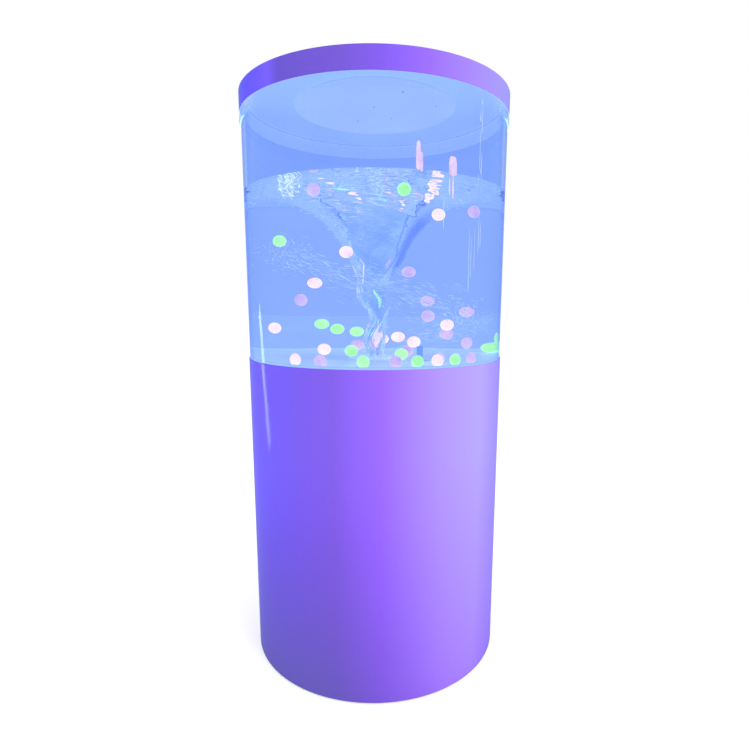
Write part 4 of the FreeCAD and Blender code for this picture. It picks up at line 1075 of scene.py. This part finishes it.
repaint = {  # CAD nodes with a finish other than their slot's
    "tank_floor": "floor_glow", "floor_sealant": "sealant_glow", "jet_fitting": "lit_fitting",
    "drain_fitting": "lit_fitting", "drain_strainer": "lit_fitting", "jet_nozzle": "lit_nozzle",
    "lid_gasket": "rim_lining",
}
for name, node in cadNodes.items():
    slotName = node.data.materials[0].name.split(".")[0]
    node.data.materials[0] = materials[repaint.get(name, slotName)]
print("frame painted")

camera = {
    "place": (0.0, -0.8893, 0.5692), "lens": 25.95, "sensor": 36.0, "shift": (-0.019, 0.0229),
    "pitch": 0.1667, "yaw": 0.0257, "roll": 0.0026, "nearest": 0.05,
}


def makeCamera(look):
    lens = bpy.data.cameras.new("photoCamera")
    lens.lens, lens.sensor_width = look["lens"], look["sensor"]
    lens.shift_x, lens.shift_y = look["shift"]
    lens.clip_start = look["nearest"]
    eye = bpy.data.objects.new("photoCamera", lens)
    turn = Matrix.Rotation(-look["yaw"], 4, "Z") @ Matrix.Rotation(math.pi / 2 - look["pitch"], 4, "X")
    eye.matrix_world = Matrix.Translation(look["place"]) @ turn @ Matrix.Rotation(look["roll"], 4, "Z")
    bpy.context.scene.collection.objects.link(eye)
    bpy.context.scene.camera = eye


studio = {
    "floorSize": 40.0, "floorColour": (0.93, 0.93, 0.94), "floorWhite": 0.34, "ambient": 0.80,
    "mirror": (0.36, 0.42, 0.90),  # what glossy faces mirror of the room
    "lamps": {
        "keyLamp": {"spot": (1.6, -1.8, 2.0), "aim": (0, 0, 0.45), "size": (1.6, 1.6), "watts": 34.0},
        "fillLamp": {"spot": (-1.9, -1.6, 1.2), "aim": (0, 0, 0.4), "size": (1.4, 1.8), "watts": 12.0},
        "stripLamp": {
            "spot": (-1.235, 0.39, 0.30), "aim": (-0.16, -0.12, 0.45), "size": (0.09, 0.56), "watts": 1.3,
            "lean": 0.5, "colour": (0.6, 0.85, 1.0), "mirrored": True,
        },
    },
}


def seenDirectly(tree):  # 1 where the camera sees a thing straight or through glass
    seen = addNode(tree, "LightPath").outputs
    return calc(tree, "MAXIMUM", seen["Is Camera Ray"], seen["Is Transmission Ray"])


def dimMirrored(tree, plain, mirror):  # a darker colour for the rays that glossy faces mirror
    seen = addNode(tree, "LightPath").outputs
    return blendColours(
        tree, calc(tree, "SUBTRACT", seen["Is Glossy Ray"], seen["Is Transmission Ray"]), plain, mirror)


def addLamp(name, spot, aim, size, watts, lean=0.0, colour=(1, 1, 1), mirrored=False):
    lamp = bpy.data.lights.new(name, "AREA")
    lamp.shape = "RECTANGLE"
    lamp.size, lamp.size_y = size
    lamp.energy, lamp.color = watts, colour
    holder = bpy.data.objects.new(name, lamp)
    turn = (Vector(aim) - Vector(spot)).to_track_quat("-Z", "Y").to_matrix().to_4x4()
    holder.matrix_world = Matrix.Translation(spot) @ turn @ Matrix.Rotation(lean, 4, "Z")
    holder.visible_camera = holder.visible_transmission = False
    holder.visible_glossy = mirrored
    bpy.context.scene.collection.objects.link(holder)


def makeStudio(look):
    bm = bmesh.new()
    bmesh.ops.create_grid(bm, x_segments=1, y_segments=1, size=look["floorSize"] / 2)
    floor, tree, sockets = newMaterial("studio_floor", Roughness=0.9, Specular_IOR_Level=0.0)
    materials["studio_floor"] = floor
    tree.links.new(dimMirrored(tree, look["floorColour"], look["mirror"]), sockets["Base Color"])
    sockets["Emission Color"].default_value = (1, 1, 1, 1)
    white = calc(tree, "MULTIPLY", seenDirectly(tree), look["floorWhite"])
    tree.links.new(white, sockets["Emission Strength"])
    newObject(bm, "studioFloor", "studio_floor")

    world = bpy.data.worlds.new("studioWorld")
    bpy.context.scene.world = world
    world.use_nodes = True
    tree = world.node_tree
    back = tree.nodes["Background"].inputs
    tree.links.new(dimMirrored(tree, (1, 1, 1), look["mirror"]), back["Color"])
    tree.links.new(spread(tree, seenDirectly(tree), 0.0, 1.0, look["ambient"], 1.0), back["Strength"])
    for name, lamp in look["lamps"].items():
        addLamp(name, **lamp)


makeCamera(camera)
makeStudio(studio)
bpy.context.scene.view_settings.view_transform = "Standard"
print("camera and studio made")
